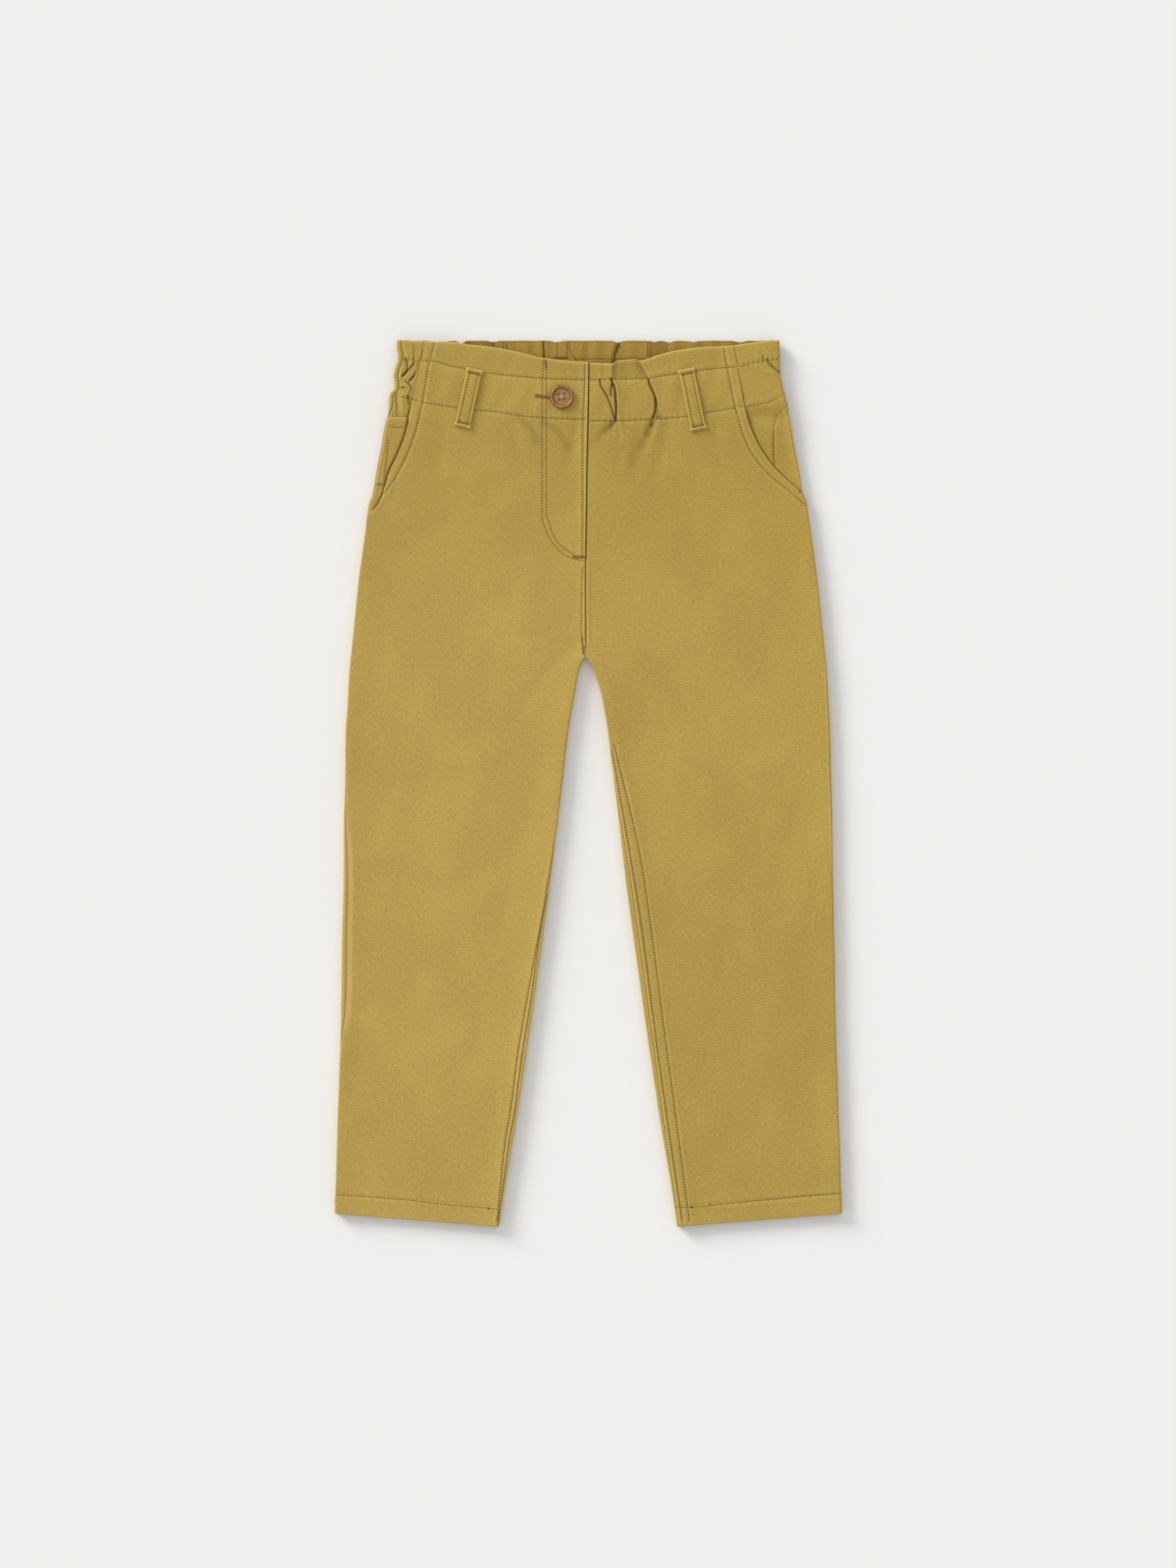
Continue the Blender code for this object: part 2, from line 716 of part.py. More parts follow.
def build_coin_pocket():
    """A small patch on the right side piece, seen inside the pocket mouth."""
    first = level_of(RIGHT, COIN_TOP_Y, 125.0)
    last = level_of(RIGHT, COIN_END_Y, 130.0)
    levels = [first + (last - first) * share for share in np.linspace(0, 1, 7)]
    spread = Spread(coin_start, coin_flat(0.3), coin_flat(0.7), coin_end, (3, 2, 3))
    panel(
        "coin_pocket", RIGHT, levels, [spread] * len(levels), False, side_fold(RIGHT),
        sink=coin_sink, thick=COIN_CLOTH,
    )


def front_height(side, x, y):
    """The height of the front's face at a place, from its points."""
    out = side.sign * x
    run = side.run_at(out, y)
    return side.point(run, y, front_fold(side))[..., 2]


def build_front_loops():
    """Belt loops sewn over the front waist, each bowed up between its two ends."""
    t = np.linspace(0, 1, 9)[:, None]
    s = np.linspace(-0.5, 0.5, 5)
    for name, (top, end) in FRONT_LOOPS.items():
        side = RIGHT if name.endswith("right") else LEFT
        top, end = np.array(top), np.array(end)
        along = (end - top) / math.dist(top, end)
        across = np.array([-along[1], along[0]])
        place = (top * (1 - t) + end * t)[:, None, :] + (s * LOOP_WIDTH)[None, :, None] * across
        seat = front_height(side, place[..., 0], place[..., 1]).max(axis=1, keepdims=True)
        under = seat + SEAM_GAP + LOOP_BULGE * np.sin(math.pi * t) + 0 * s
        over = under + LOOP_THICK - LOOP_EDGE * (np.abs(s) > 0.4)
        top_face = np.concatenate([place, over[..., None]], axis=-1)
        under_face = np.concatenate([place, under[..., None]], axis=-1)
        wall_object(name, list(zip(top_face, under_face)), [s] * len(t), CLOTH_COLOUR)


def build_back_loops():
    """Belt loops under the back waist, flat on what the garment lies on."""
    for name, x in BACK_LOOPS.items():
        y = np.linspace(BACK_LOOP_Y[0], BACK_LOOP_Y[1], 5)
        s = np.linspace(-0.5, 0.5, 5)
        place = np.stack(np.broadcast_arrays(x + s[None, :] * LOOP_WIDTH, y[:, None]), axis=-1)
        under = LOOP_EDGE * (np.abs(s) > 0.4) + 0 * place[..., 0]
        over = np.full(under.shape, LOOP_THICK)
        top_face = np.concatenate([place, over[..., None]], axis=-1)
        under_face = np.concatenate([place, under[..., None]], axis=-1)
        wall_object(name, list(zip(top_face, under_face)), [s] * len(y), CLOTH_COLOUR)


def build_button():
    """A turned four-hole button with a raised rim, on the fly's overlap."""
    x, y = BUTTON_PLACE
    seat = float(front_height(RIGHT, np.array([x]), np.array([y]))[0]) + SEAM_GAP
    shape = bmesh.new()
    rings = []
    for radius, height in zip(*BUTTON_PROFILE.values()):
        ring = []
        for step in range(BUTTON_SIDES):
            turn = 2 * math.pi * step / BUTTON_SIDES
            ring.append(shape.verts.new((
                MM * (x + radius * math.cos(turn)),
                MM * (y + radius * math.sin(turn)),
                MM * (seat + height),
            )))
        rings.append(ring)
    for first, second in zip(rings, rings[1:]):
        for step in range(BUTTON_SIDES):
            after = (step + 1) % BUTTON_SIDES
            shape.faces.new((first[step], second[step], second[after], first[after]))
    shape.faces.new(rings[0])
    shape.faces.new(rings[-1][::-1])
    bmesh.ops.recalc_face_normals(shape, faces=shape.faces)
    mesh = bpy.data.meshes.new("button")
    shape.to_mesh(mesh)
    shape.free()
    mesh.shade_smooth()
    mesh.set_sharp_from_angle(angle=math.radians(40))
    button = bpy.data.objects.new("button", mesh)
    bpy.context.scene.collection.objects.link(button)
    mesh.materials.append(plain_material("button", HORN_COLOUR, 0.35))
    for place in range(4):
        turn = math.pi / 2 * place + math.pi / 4 + BUTTON_TURN
        cutter_mesh = bpy.data.meshes.new(f"button_hole_{place}")
        hole = bmesh.new()
        bmesh.ops.create_cone(
            hole, cap_ends=True, segments=10, radius1=MM * BUTTON_HOLE, radius2=MM * BUTTON_HOLE,
            depth=MM * 3 * BUTTON_THICK,
        )
        bmesh.ops.translate(hole, verts=hole.verts, vec=(
            MM * (x + BUTTON_HOLE_REACH * math.cos(turn)),
            MM * (y + BUTTON_HOLE_REACH * math.sin(turn)),
            MM * (seat + BUTTON_THICK / 2),
        ))
        hole.to_mesh(cutter_mesh)
        hole.free()
        cutter = bpy.data.objects.new(f"button_hole_{place}", cutter_mesh)
        bpy.context.scene.collection.objects.link(cutter)
        cutter.hide_render = True
        cutter.display_type = "WIRE"
        cut = button.modifiers.new(f"hole_{place}", "BOOLEAN")
        cut.operation = "DIFFERENCE"
        cut.object = cutter
    return button


def clear_scene():
    """Removes every object that the scene starts with."""
    for old in list(bpy.data.objects):
        bpy.data.objects.remove(old)


def main():
    clear_scene()
    build_backs()
    build_side_pieces()
    build_coin_pocket()
    build_fronts()
    build_front_loops()
    build_back_loops()
    build_button()


main()
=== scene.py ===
"""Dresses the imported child's paperbag-waist trousers, laid flat with the front up.

Lengths are millimetres until a mesh is made, where MM turns them into metres. +X is the
wearer's left, +Y the waist, +Z up. Every leg is a flattened tube, and a place on it is a
run and a height y: the run is the length round the tube from the middle of the outer
edge, positive over the front and negative under the back.
"""

import logging
import math
from dataclasses import dataclass, field, replace
from enum import Enum
from functools import cached_property

import bmesh
import bpy
import numpy as np
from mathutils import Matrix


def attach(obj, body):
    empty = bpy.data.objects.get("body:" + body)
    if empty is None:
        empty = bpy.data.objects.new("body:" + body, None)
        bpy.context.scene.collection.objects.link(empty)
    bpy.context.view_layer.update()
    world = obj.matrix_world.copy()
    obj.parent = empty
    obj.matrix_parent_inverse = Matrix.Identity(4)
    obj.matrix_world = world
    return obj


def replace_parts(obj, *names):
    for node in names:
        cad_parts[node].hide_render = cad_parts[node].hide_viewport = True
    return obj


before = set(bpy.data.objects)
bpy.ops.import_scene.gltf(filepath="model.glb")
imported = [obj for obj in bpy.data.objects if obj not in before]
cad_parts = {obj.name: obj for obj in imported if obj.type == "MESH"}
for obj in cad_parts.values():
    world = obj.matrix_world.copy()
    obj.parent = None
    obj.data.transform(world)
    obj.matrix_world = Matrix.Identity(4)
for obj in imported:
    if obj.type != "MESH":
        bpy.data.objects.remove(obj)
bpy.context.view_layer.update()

LOG = logging.getLogger("trousers")
MM = 0.001
BODY = "root"
Array = np.ndarray

# Between sewn pieces; how far a side piece goes on under the front; the step of a slope.
SEAM_GAP, MOUTH_LAP, PROBE = 0.3, 3.0, 0.05
CLOTH, WAIST_CLOTH = 0.9, 1.5
TOP_Y, UPPER_ROW_Y, LOWER_ROW_Y, HIP_Y, CROTCH_Y = 294.3, 281.5, 256.5, 187.0, 84.2
HEM_OUTER, HEM_INNER, HEM_FOLD = (168.0, -285.0), (59.0, -293.8), 12.6
# The row on the inside of the back waist, the fly's foot, and the reach of the back's gathers.
INSIDE_ROW_Y, FLY_FOOT, PRESSED_Y, GATHERED_Y = 282.4, (146.0, 152.0), 214.0, 250.0
# Where the inner edge starts to curl under, and where it is round.
CURL_START_Y, CURL_FULL_Y = CROTCH_Y + 12, CROTCH_Y - 5
# From the top of the pocket mouth: where its lap ends, and where the side piece is level.
LAP_FROM, LAP_TO, LEVEL_FROM = -12.0, -8.5, 2.0
# How far in the outer edge stands up, and the inset that its low wall takes up.
EDGE_LIFT_REACH, WALL_INSET = 11.0, 0.3
FAR = 1000.0
FIRST_OUT, ROUNDS = 100.0, 6


class Face(Enum):
    """Which face of the flattened garment a panel or a row of stitches lies on."""

    FRONT = 1
    BACK = -1


class Level(Enum):
    """The waist's lines. Rows of points are shared out between them, then the hip and the hem."""

    TOP = 0
    UPPER = 1
    LOWER = 2


def columns(names: str, *rows: tuple[float, ...]) -> dict[str, Array]:
    """A table with a name for each column."""
    values = np.array(rows, float)
    return {name: values[:, place] for place, name in enumerate(names.split())}


OUTLINE = columns(
    "y right left inner",
    (-293.8, 168, 168.5, 58.9), (-275.6, 167.7, 168, 56.2), (-228.8, 166.4, 166.6, 48.4),
    (-166.4, 164.3, 164.5, 39), (-104, 163.3, 163.3, 30.2), (-57.2, 162.2, 162.4, 23.9),
    (-26, 162.2, 162.2, 20.3), (5.2, 161.2, 161.4, 16.6), (36.4, 160.7, 160.7, 13),
    (52, 159.6, 159.8, 10.4), (67.6, 158.9, 158.9, 7.1), (71, 158.7, 158.7, 6.2), (75, 158.4, 158.4, 5.15),
    (78.5, 158.2, 158.2, 4), (80.3, 158, 158, 3.15), (82, 157.8, 157.8, 2.15), (83.2, 157.7, 157.7, 1.3),
    (83.9, 157.65, 157.65, 0.6), (84.2, 157.6, 157.6, 0), (98.8, 156, 156, 0), (130, 152.9, 152.9, 0),
    (161.2, 148.7, 148.7, 0), (182, 146.2, 145.8, 0), (187, 145.3, 145.1, 0), (190.4, 143.7, 143.3, 0),
    (197.6, 142.1, 141.6, 0), (208, 140.3, 140, 0), (223.6, 137.2, 136.9, 0), (239.2, 134.4, 134.4, 0),
    (244.1, 133, 133.4, 0), (250.4, 132.2, 132.4, 0), (257, 131.8, 130.8, 0), (259.5, 130.8, 130.2, 0),
    (262.4, 128.4, 129.4, 0), (266, 128.3, 128.6, 0), (270.4, 129, 127.6, 0), (274.4, 128.4, 127.3, 0),
    (281, 126.2, 127.1, 0), (284, 126, 127.1, 0), (288.7, 126.7, 127.1, 0), (294.3, 127.1, 127.1, 0),
)
HEIGHTS = columns(
    "y top bottom edge wall round",
    (-293.8, 5.4, 0, 1, CLOTH, 0.9), (84.2, 5.4, 0, 1, CLOTH, 0.9), (150, 5.4, 0, 0.9, CLOTH, 0.9),
    (190, 5.6, 0, 0.6, CLOTH, 0.9), (214, 6, 0.7, 0, CLOTH, 1), (234, 7.1, 1.6, 0, CLOTH, 1.2),
    (244, 7.6, 1.6, 0, WAIST_CLOTH, 1.3), (281, 7.6, 1.6, 0, WAIST_CLOTH, 1.3),
    (294.3, 7.1, 1.6, 0, WAIST_CLOTH, 1.3),
)
MIDDLE = columns(
    "y front back",
    (60, 0, 0), (84.2, -1.4, -1.4), (105, -1.5, -2.3), (148, -1.6, -3.8), (175, -1.2, -5.3),
    (212, -0.7, -7.5), (267, 0.4, -11), (294.3, 0.5, -12.6),
)
SEAMS = columns(
    "y side_right side_left inseam_right inseam_left",
    (-293.8, 0, 0, 0.8, 1.2), (-276, 0, 0, 1, 1.5), (-234, 0, 0, 2.2, 2.3), (-218, 0, 0, 1.7, 2.7),
    (-198, 0, 0, 2.2, 3), (-177, 0.2, 0, 2.5, 3.4), (-166, 1.2, 0, 2.3, 3.5), (-148, 3.2, 0, 1.9, 3.6),
    (-125, 3.5, 0, 2, 3.7), (-104, 3.3, 0, 2, 3.7), (-72, 3, 0, 1.6, 3.6), (-50, 2.6, 0.3, 0.6, 2.9),
    (-20.8, 1.1, 0.7, 0, 1.4), (5, 0.2, 1, 0, 0.4), (20, 0, 1.2, 0, 0), (64, 0, 0.7, 0, 0),
    (90, 0, 0.1, 0, 0), (168, 0, 0, 0, 0), (190, 0.3, 0, 0, 0), (241, 0.4, 0, 0, 0), (246, 1.4, 0, 0, 0),
    (252, 2.7, 0, 0, 0), (294.3, 3.3, 0, 0, 0),
)
MOUTH_RIGHT = columns(
    "y out",
    (-293.8, 172), (176, 150), (180, 144.5), (187.2, 138.3), (207.5, 132.1), (218.4, 126.9), (233, 121.2),
    (255.6, 116.5), (281.8, 111), (294.3, 109),
)
MOUTH_LEFT = columns(
    "y out",
    (-293.8, 174), (184, 152), (188.5, 148), (192.9, 142.5), (200.2, 134.2), (209.8, 124.1), (225.2, 113.2),
    (239.2, 107.1), (250.1, 104.2), (277.2, 99.3), (294.3, 96.4),
)
WAIST_RIGHT = {
    Level.TOP: columns(
        "out y",
        (-2, 279.7), (1.6, 279.8), (29, 282.4), (46.3, 286.5), (64.5, 289.9), (81, 291.7), (91, 293.3),
        (109.2, 293.5), (120, TOP_Y),
    ),
    Level.UPPER: columns(
        "out y",
        (-2, 267.8), (11.4, 268.3), (27.6, 268.8), (41.6, 269.9), (66, 272.5), (79, 275.1), (91, 277.2),
        (101.9, 280.3), (111.3, 280.8), (124, UPPER_ROW_Y),
    ),
    Level.LOWER: columns(
        "out y",
        (-2, 241.8), (27, 242.8), (41.6, 243.9), (61.4, 247), (75.4, 248), (95.2, 250.9), (109.7, 253.2),
        (118, 255.6), (124, LOWER_ROW_Y),
    ),
}
WAIST_LEFT = {
    Level.TOP: columns(
        "out y",
        (-2, 279.4), (16.6, 278.8), (18.6, 280.4), (31.8, 281.6), (34, 280.6), (46.5, 284.4), (59.3, 287.6),
        (74.4, 289.6), (96.7, 290.9), (109.2, 292.8), (122, TOP_Y),
    ),
    Level.UPPER: columns(
        "out y",
        (-2, 267.9), (16.1, 268.5), (40, 269.2), (50.4, 270.9), (71.2, 274), (91.8, 276.2), (99.3, 276.8),
        (115.4, 280.4), (123, UPPER_ROW_Y),
    ),
    Level.LOWER: columns(
        "out y",
        (-2, 240.8), (18.5, 240.8), (44.7, 242.1), (64.5, 243.6), (77.5, 246.1), (97.2, 249.3),
        (119, 253.2), (127, LOWER_ROW_Y),
    ),
}
BACK_LEVELS = {Level.TOP: TOP_Y, Level.UPPER: UPPER_ROW_Y, Level.LOWER: LOWER_ROW_Y}


def smooth(x: Array, y: Array, at: Array) -> Array:
    """A curve through points that never swings past them (monotone cubic).

    Args:
        x: Rising places of the points.
        y: Their values.
        at: Where the curve is read, of any shape; held at the ends beyond them.

    Returns:
        The values at those places.
    """
    step = np.diff(x)
    slope = np.diff(y) / step
    bend = np.zeros(len(x))
    bend[0], bend[-1] = slope[0], slope[-1]
    before, after = slope[:-1], slope[1:]
    first, second = 2 * step[1:] + step[:-1], step[1:] + 2 * step[:-1]
    rising = before * after > 0
    mean = np.zeros(len(before))
    mean[rising] = (first + second)[rising] / (
        first[rising] / before[rising] + second[rising] / after[rising]
    )
    bend[1:-1] = mean
    at = np.clip(at, x[0], x[-1])
    place = np.clip(np.searchsorted(x, at, side="right") - 1, 0, len(step) - 1)
    t = (at - x[place]) / step[place]
    return (
        y[place] * (1 + 2 * t) * (1 - t) ** 2
        + bend[place] * step[place] * t * (1 - t) ** 2
        + y[place + 1] * t * t * (3 - 2 * t)
        + bend[place + 1] * step[place] * t * t * (t - 1)
    )


def read(table: dict[str, Array], name: str, y: Array) -> Array:
    """One column of a table down the garment."""
    return smooth(table["y"], table[name], y)


def ramp(value: Array, start: float, end: float) -> Array:
    """0 before start, 1 after end, smooth between."""
    t = np.clip((value - start) / (end - start), 0, 1)
    return t * t * (3 - 2 * t)


def bell(away: Array, width: float) -> Array:
    """1 in the middle, falling as exp(-(away / width) squared)."""
    return np.exp(-((away / width) ** 2))


def unit(vectors: Array) -> Array:
    """The vectors at length 1."""
    return vectors / np.maximum(np.linalg.norm(vectors, axis=-1, keepdims=True), 1e-9)


def left_of(way: Array) -> Array:
    """The directions a quarter turn to the left of these."""
    return np.stack([-way[..., 1], way[..., 0]], axis=-1)


@dataclass(frozen=True)
class Line:
    """A curve over the garment as x and y, through measured points."""

    points: tuple[tuple[float, float], ...]
    step: float = 2.5

    @cached_property
    def places(self) -> Array:
        """The points, filled in by a curve that never swings past them."""
        points = np.array(self.points, float)
        reach = np.append(0, np.cumsum(np.hypot(*np.diff(points, axis=0).T)))
        count = max(int(reach[-1] / self.step), 1) + 1
        at = np.linspace(0, reach[-1], count)
        return np.stack([smooth(reach, points[:, axis], at) for axis in (0, 1)], axis=-1)

    def spaced(self, pitch: float) -> tuple[Array, Array]:
        """Points at an even pitch along the curve.

        Args:
            pitch: The distance between points.

        Returns:
            The places, and the curve's direction at each, as x and y.
        """
        points = self.places
        reach = np.append(0, np.cumsum(np.hypot(*np.diff(points, axis=0).T)))
        at = np.arange(pitch / 2, reach[-1], pitch)
        place, before, after = (
            np.stack([np.interp(at + shift, reach, points[:, axis]) for axis in (0, 1)], axis=-1)
            for shift in (0.0, -pitch / 4, pitch / 4)
        )
        return place, unit(after - before)

    def distance(self, x: Array, y: Array, reach: float = 9.0) -> Array:
        """The signed distance to the curve.

        Args:
            x: The places' x.
            y: Their y.
            reach: How far from the curve's bounds a place is still measured.

        Returns:
            The distances, positive on the curve's left, and FAR beyond reach.
        """
        points = self.places
        low, high = points.min(axis=0) - reach, points.max(axis=0) + reach
        near = (x > low[0]) & (x < high[0]) & (y > low[1]) & (y < high[1])
        px, py = x[near], y[near]
        best = np.full(px.shape, FAR)
        for start, end in zip(points, points[1:]):
            way = end - start
            share = ((px - start[0]) * way[0] + (py - start[1]) * way[1]) / (way @ way)
            share = np.clip(share, 0, 1)
            dx, dy = px - start[0] - share * way[0], py - start[1] - share * way[1]
            side = np.where(way[0] * dy - way[1] * dx >= 0, 1.0, -1.0)
            away = side * np.hypot(dx, dy)
            best = np.where(np.abs(away) < np.abs(best), away, best)
        found = np.full(x.shape, FAR)
        found[near] = best
        return found


@dataclass(frozen=True)
class Crease:
    """A fold: a groove along a line, cloth that stands up on one side of it, and shade painted in the
    groove.
    """

    line: Line
    depth: float
    width: float
    lip: float
    reach: float
    dark: float

    def height(self, x: Array, y: Array) -> Array:
        """The groove's bell, and a lip that starts at the line and falls over its reach.

        Args:
            x: The places' x.
            y: Their y.

        Returns:
            How far the fold lifts the cloth there.
        """
        away = self.line.distance(x, y, 3 * max(self.width, self.reach if self.lip else 0.0, 1.0))
        side = away if self.lip >= 0 else -away
        rise = ramp(side, -0.45 * self.width, 0.55 * self.width)
        rise = rise * bell(np.maximum(side, 0), self.reach)
        return -self.depth * bell(away, self.width) + abs(self.lip) * rise

    def shade(self, x: Array, y: Array) -> Array:
        """The shade painted in the bottom of the groove."""
        away = self.line.distance(x, y, 3 * max(self.width, 1.0))
        return self.dark * bell(away, max(0.75 * self.width, 0.5))


def crease(
    depth: float, width: float, lip: float, reach: float, dark: float, *points: tuple[float, float]
) -> Crease:
    """A crease through these points, with its line close enough for a curve."""
    return Crease(Line(points, max(2.5, 0.8 * width)), depth, width, lip, reach, dark)


def groove(depth: float, width: float, dark: float, *points: tuple[float, float]) -> Crease:
    """A crease without a lip, or a ridge where the depth is below 0."""
    return crease(depth, width, 0.0, 1.0, dark, *points)


# The front's elastic gathers beside the fly, and the drag lines under them. The last number before
# the points is the shade painted in the groove; the wide shallow grooves beside the header box, left
# of the flap and under the drag lines are mostly painted shadow.
CREASES_FRONT_LEFT = (
    crease(0.5, 0.7, 0.35, 4, 1.2, (7.9, 267.8), (8.2, 264.7), (11.6, 259.1), (14.8, 251.6), (17.6, 242.8)),
    crease(
        0.8, 0.8, 0.45, 3.5, 1.6, (15.4, 268.4), (16.6, 265.3), (17.9, 261.6), (18.4, 255.3), (18.8, 249.1),
        (18.4, 240.7),
    ),
    groove(0.3, 0.7, 1, (15.7, 264.6), (15.2, 260.6), (15.1, 257.6)),
    crease(0.15, 0.8, 0.2, 3, 0.28, (19.1, 267.8), (21.6, 261.6), (21.8, 256.6)),
    crease(
        0.7, 0.78, 0.4, 4.5, 1.5, (40.2, 268.4), (40.7, 265.3), (42.8, 260.9), (44.7, 255.3), (44.9, 250.3),
        (44.4, 245.3), (43.5, 243.5),
    ),
    crease(0.35, 0.5, 0.2, 2, 0.8, (44.8, 256), (46, 251.6), (46.1, 246), (45.3, 243.4)),
    groove(0.4, 0.7, 0.85, (47.5, 244.1), (46.3, 242.8)),
    crease(0.3, 0.6, -0.55, 7, 0.25, (16.9, 279.4), (16.8, 274), (16.2, 269.2)),
    groove(0.2, 2, 0.3, (18.4, 279.5), (18, 269.5)),
    crease(0.1, 1.2, -0.2, 4, 0.05, (9.6, 279), (9.2, 269)),
    crease(0.3, 0.6, 0.6, 6, 0.2, (33.2, 280.8), (36.6, 275), (39.8, 269.4)),
    groove(0.2, 2.2, 0.24, (32.1, 279.6), (35, 275), (37.8, 270.2)),
    crease(0.6, 2, 0.3, 7, 0.55, (43.4, 242.2), (42, 237.6)),
    crease(0.5, 2.8, 0.25, 7, 0.34, (42.2, 238.4), (39.6, 231.4)),
    crease(0.4, 3.2, 0.2, 7, 0.2, (40.2, 233), (35.8, 224)),
    groove(0.3, 3.8, 0.11, (37, 226), (31, 212)),
    crease(0.3, 1.1, 0.4, 5, 0.08, (19.4, 240.4), (20.4, 236), (21.5, 229.5)),
    crease(0.4, 1.8, 0.2, 4, 0.38, (18.2, 240.6), (15.2, 237.4)),
    groove(0.3, 2.6, 0.26, (16.4, 238.6), (11.6, 234.2)),
    groove(0.25, 3.6, 0.14, (13, 235.6), (6.4, 229.4)),
)
CREASES_FRONT_RIGHT = (
    groove(0.6, 0.7, 0.9, (-110.3, 287), (-111.2, 281.8)),
    groove(0.3, 0.6, 0.75, (-3.6, 97), (-3.3, 91), (-2.4, 85.6)),
    groove(0.3, 3, 0.2, (-29, 240), (-20, 233), (-12, 222)),
    groove(0.3, 3.2, 0.2, (-46, 243), (-38, 236), (-33, 226)),
)
SOFT_FRONT_LEFT = (
    groove(0.45, 3.5, 0, (25, 280), (27, 270)),
    groove(-0.35, 3, 0, (29, 238), (27, 222), (24, 208)),
    groove(0.4, 4.5, 0, (52, 238), (50, 222), (45, 205)),
    groove(0.35, 5, 0, (86, 246), (84, 226), (90, 205)),
    groove(0.3, 3.5, 0, (60, 271), (61, 247)),
    groove(0.35, 4, 0, (84, 275), (86, 250)),
    groove(0.2, 4, 0, (4, 108), (26, 98), (52, 96)),
    groove(0.2, 4.5, 0, (8, 88), (26, 72), (40, 50)),
    groove(-0.3, 7, 0, (60, 30), (95, 10), (128, 16)),
    groove(0.35, 8, 0, (62, -60), (95, -76), (134, -66)),
    groove(-0.3, 8, 0, (84, -170), (110, -180), (146, -164)),
)
SOFT_FRONT_RIGHT = (
    groove(0.4, 4, 0, (-8, 238), (-10, 226), (-13, 212)),
    groove(0.35, 5, 0, (-50, 242), (-48, 226), (-44, 206)),
    groove(0.35, 5, 0, (-96, 246), (-95, 228), (-100, 208)),
    groove(0.3, 4, 0, (-58, 270), (-60, 250)),
    groove(0.15, 4, 0, (-8, 110), (-28, 100), (-54, 98)),
    groove(0.2, 4.5, 0, (-10, 90), (-26, 76), (-42, 52)),
    groove(-0.35, 8, 0, (-62, 176), (-50, 150), (-38, 132)),
    groove(-0.3, 8, 0, (-58, 26), (-92, 12), (-130, 22)),
    groove(0.35, 8, 0, (-60, -54), (-98, -70), (-138, -58)),
    groove(-0.3, 8, 0, (-80, -168), (-112, -178), (-142, -160)),
)
# The side pieces' gathers, with shade painted in their grooves; the grooves under the coin pocket's top and
# in the strip by the side seam are mostly painted shadow, and the one with no depth at the top is only a
# patch of painted shade.
CREASES_SIDE_RIGHT = (
    crease(0.2, 0.8, 0.6, 3.5, 0.15, (-123.5, 294), (-122.2, 288), (-121.2, 284.5), (-119.4, 280.2)),
    groove(0.3, 1.2, 0.3, (-115.2, 290), (-115.4, 280.5)),
    groove(0, 3, 0.1, (-112.6, 294), (-112.8, 284)),
    crease(0.5, 0.8, 0.4, 2.5, 0.9, (-120.6, 281.7), (-119.7, 277), (-119.9, 274), (-122.8, 270.5)),
    crease(0.4, 0.8, -0.4, 2.5, 0.7, (-115.2, 279), (-119.7, 273.9), (-123.2, 270.4)),
    crease(0.6, 0.9, -0.3, 3, 1, (-111.9, 279.4), (-113, 274.4), (-114.8, 271.5), (-118, 267.6)),
    crease(
        0.4, 0.7, 0.4, 2.5, 0.75, (-120.9, 267), (-118, 264.7), (-116.9, 261.8), (-118.6, 259),
        (-119.2, 256.7),
    ),
    crease(0.4, 0.7, 0.5, 2.5, 0.7, (-126.6, 262.4), (-124.9, 263.5), (-122, 263)),
    groove(0.5, 0.8, 0.9, (-127.2, 265), (-127.2, 259)),
    groove(0.3, 0.7, 0.65, (-127.2, 258), (-126.6, 244.5)),
    crease(0.6, 0.8, 0.3, 2.5, 0.95, (-119.2, 256.7), (-118.9, 253.2), (-117.8, 249.8)),
    groove(0.3, 1.8, 0.24, (-129.8, 256.5), (-130, 246)),
    groove(0.2, 0.9, 0.6, (-131, 244), (-121, 243.7)),
    groove(-0.6, 1.6, 0, (-124, 276), (-125.5, 268)),
    groove(-0.5, 1.8, 0, (-123, 257.5), (-122.8, 247)),
)
CREASES_SIDE_LEFT = (
    crease(0.4, 0.7, 0.2, 2.5, 0.6, (116.1, 284), (116.1, 280)),
    crease(0.4, 0.8, 0.4, 2.5, 0.85, (118.6, 281.4), (121.7, 277.2), (126.6, 273)),
    groove(-0.35, 1.2, 0, (110.5, 277.5), (116.1, 273.7), (126.4, 272)),
    crease(0.3, 0.8, 0.4, 4, 0.5, (130.6, 250), (126.8, 246.2), (124.3, 241), (123.3, 236.2)),
    crease(0.45, 0.7, 0.4, 4, 0.8, (123.2, 234.6), (123.1, 226.6), (123.4, 216.5), (124.4, 207)),
    groove(-0.3, 1.6, 0, (112, 288), (113, 282.5)),
)
# The same kinds of drag line on the back, which the picture doesn't show.
SOFT_BACK = (
    groove(0.5, 4.5, 0, (12, 100), (32, 90), (62, 92)),
    groove(0.45, 5, 0, (14, 80), (30, 62), (44, 40)),
    groove(0.35, 6, 0, (40, 205), (38, 185), (30, 165)),
    groove(0.35, 6, 0, (92, 210), (96, 188), (104, 168)),
    groove(0.35, 8, 0, (60, -40), (96, -56), (138, -44)),
    groove(-0.3, 8, 0, (74, -140), (108, -150), (146, -136)),
)
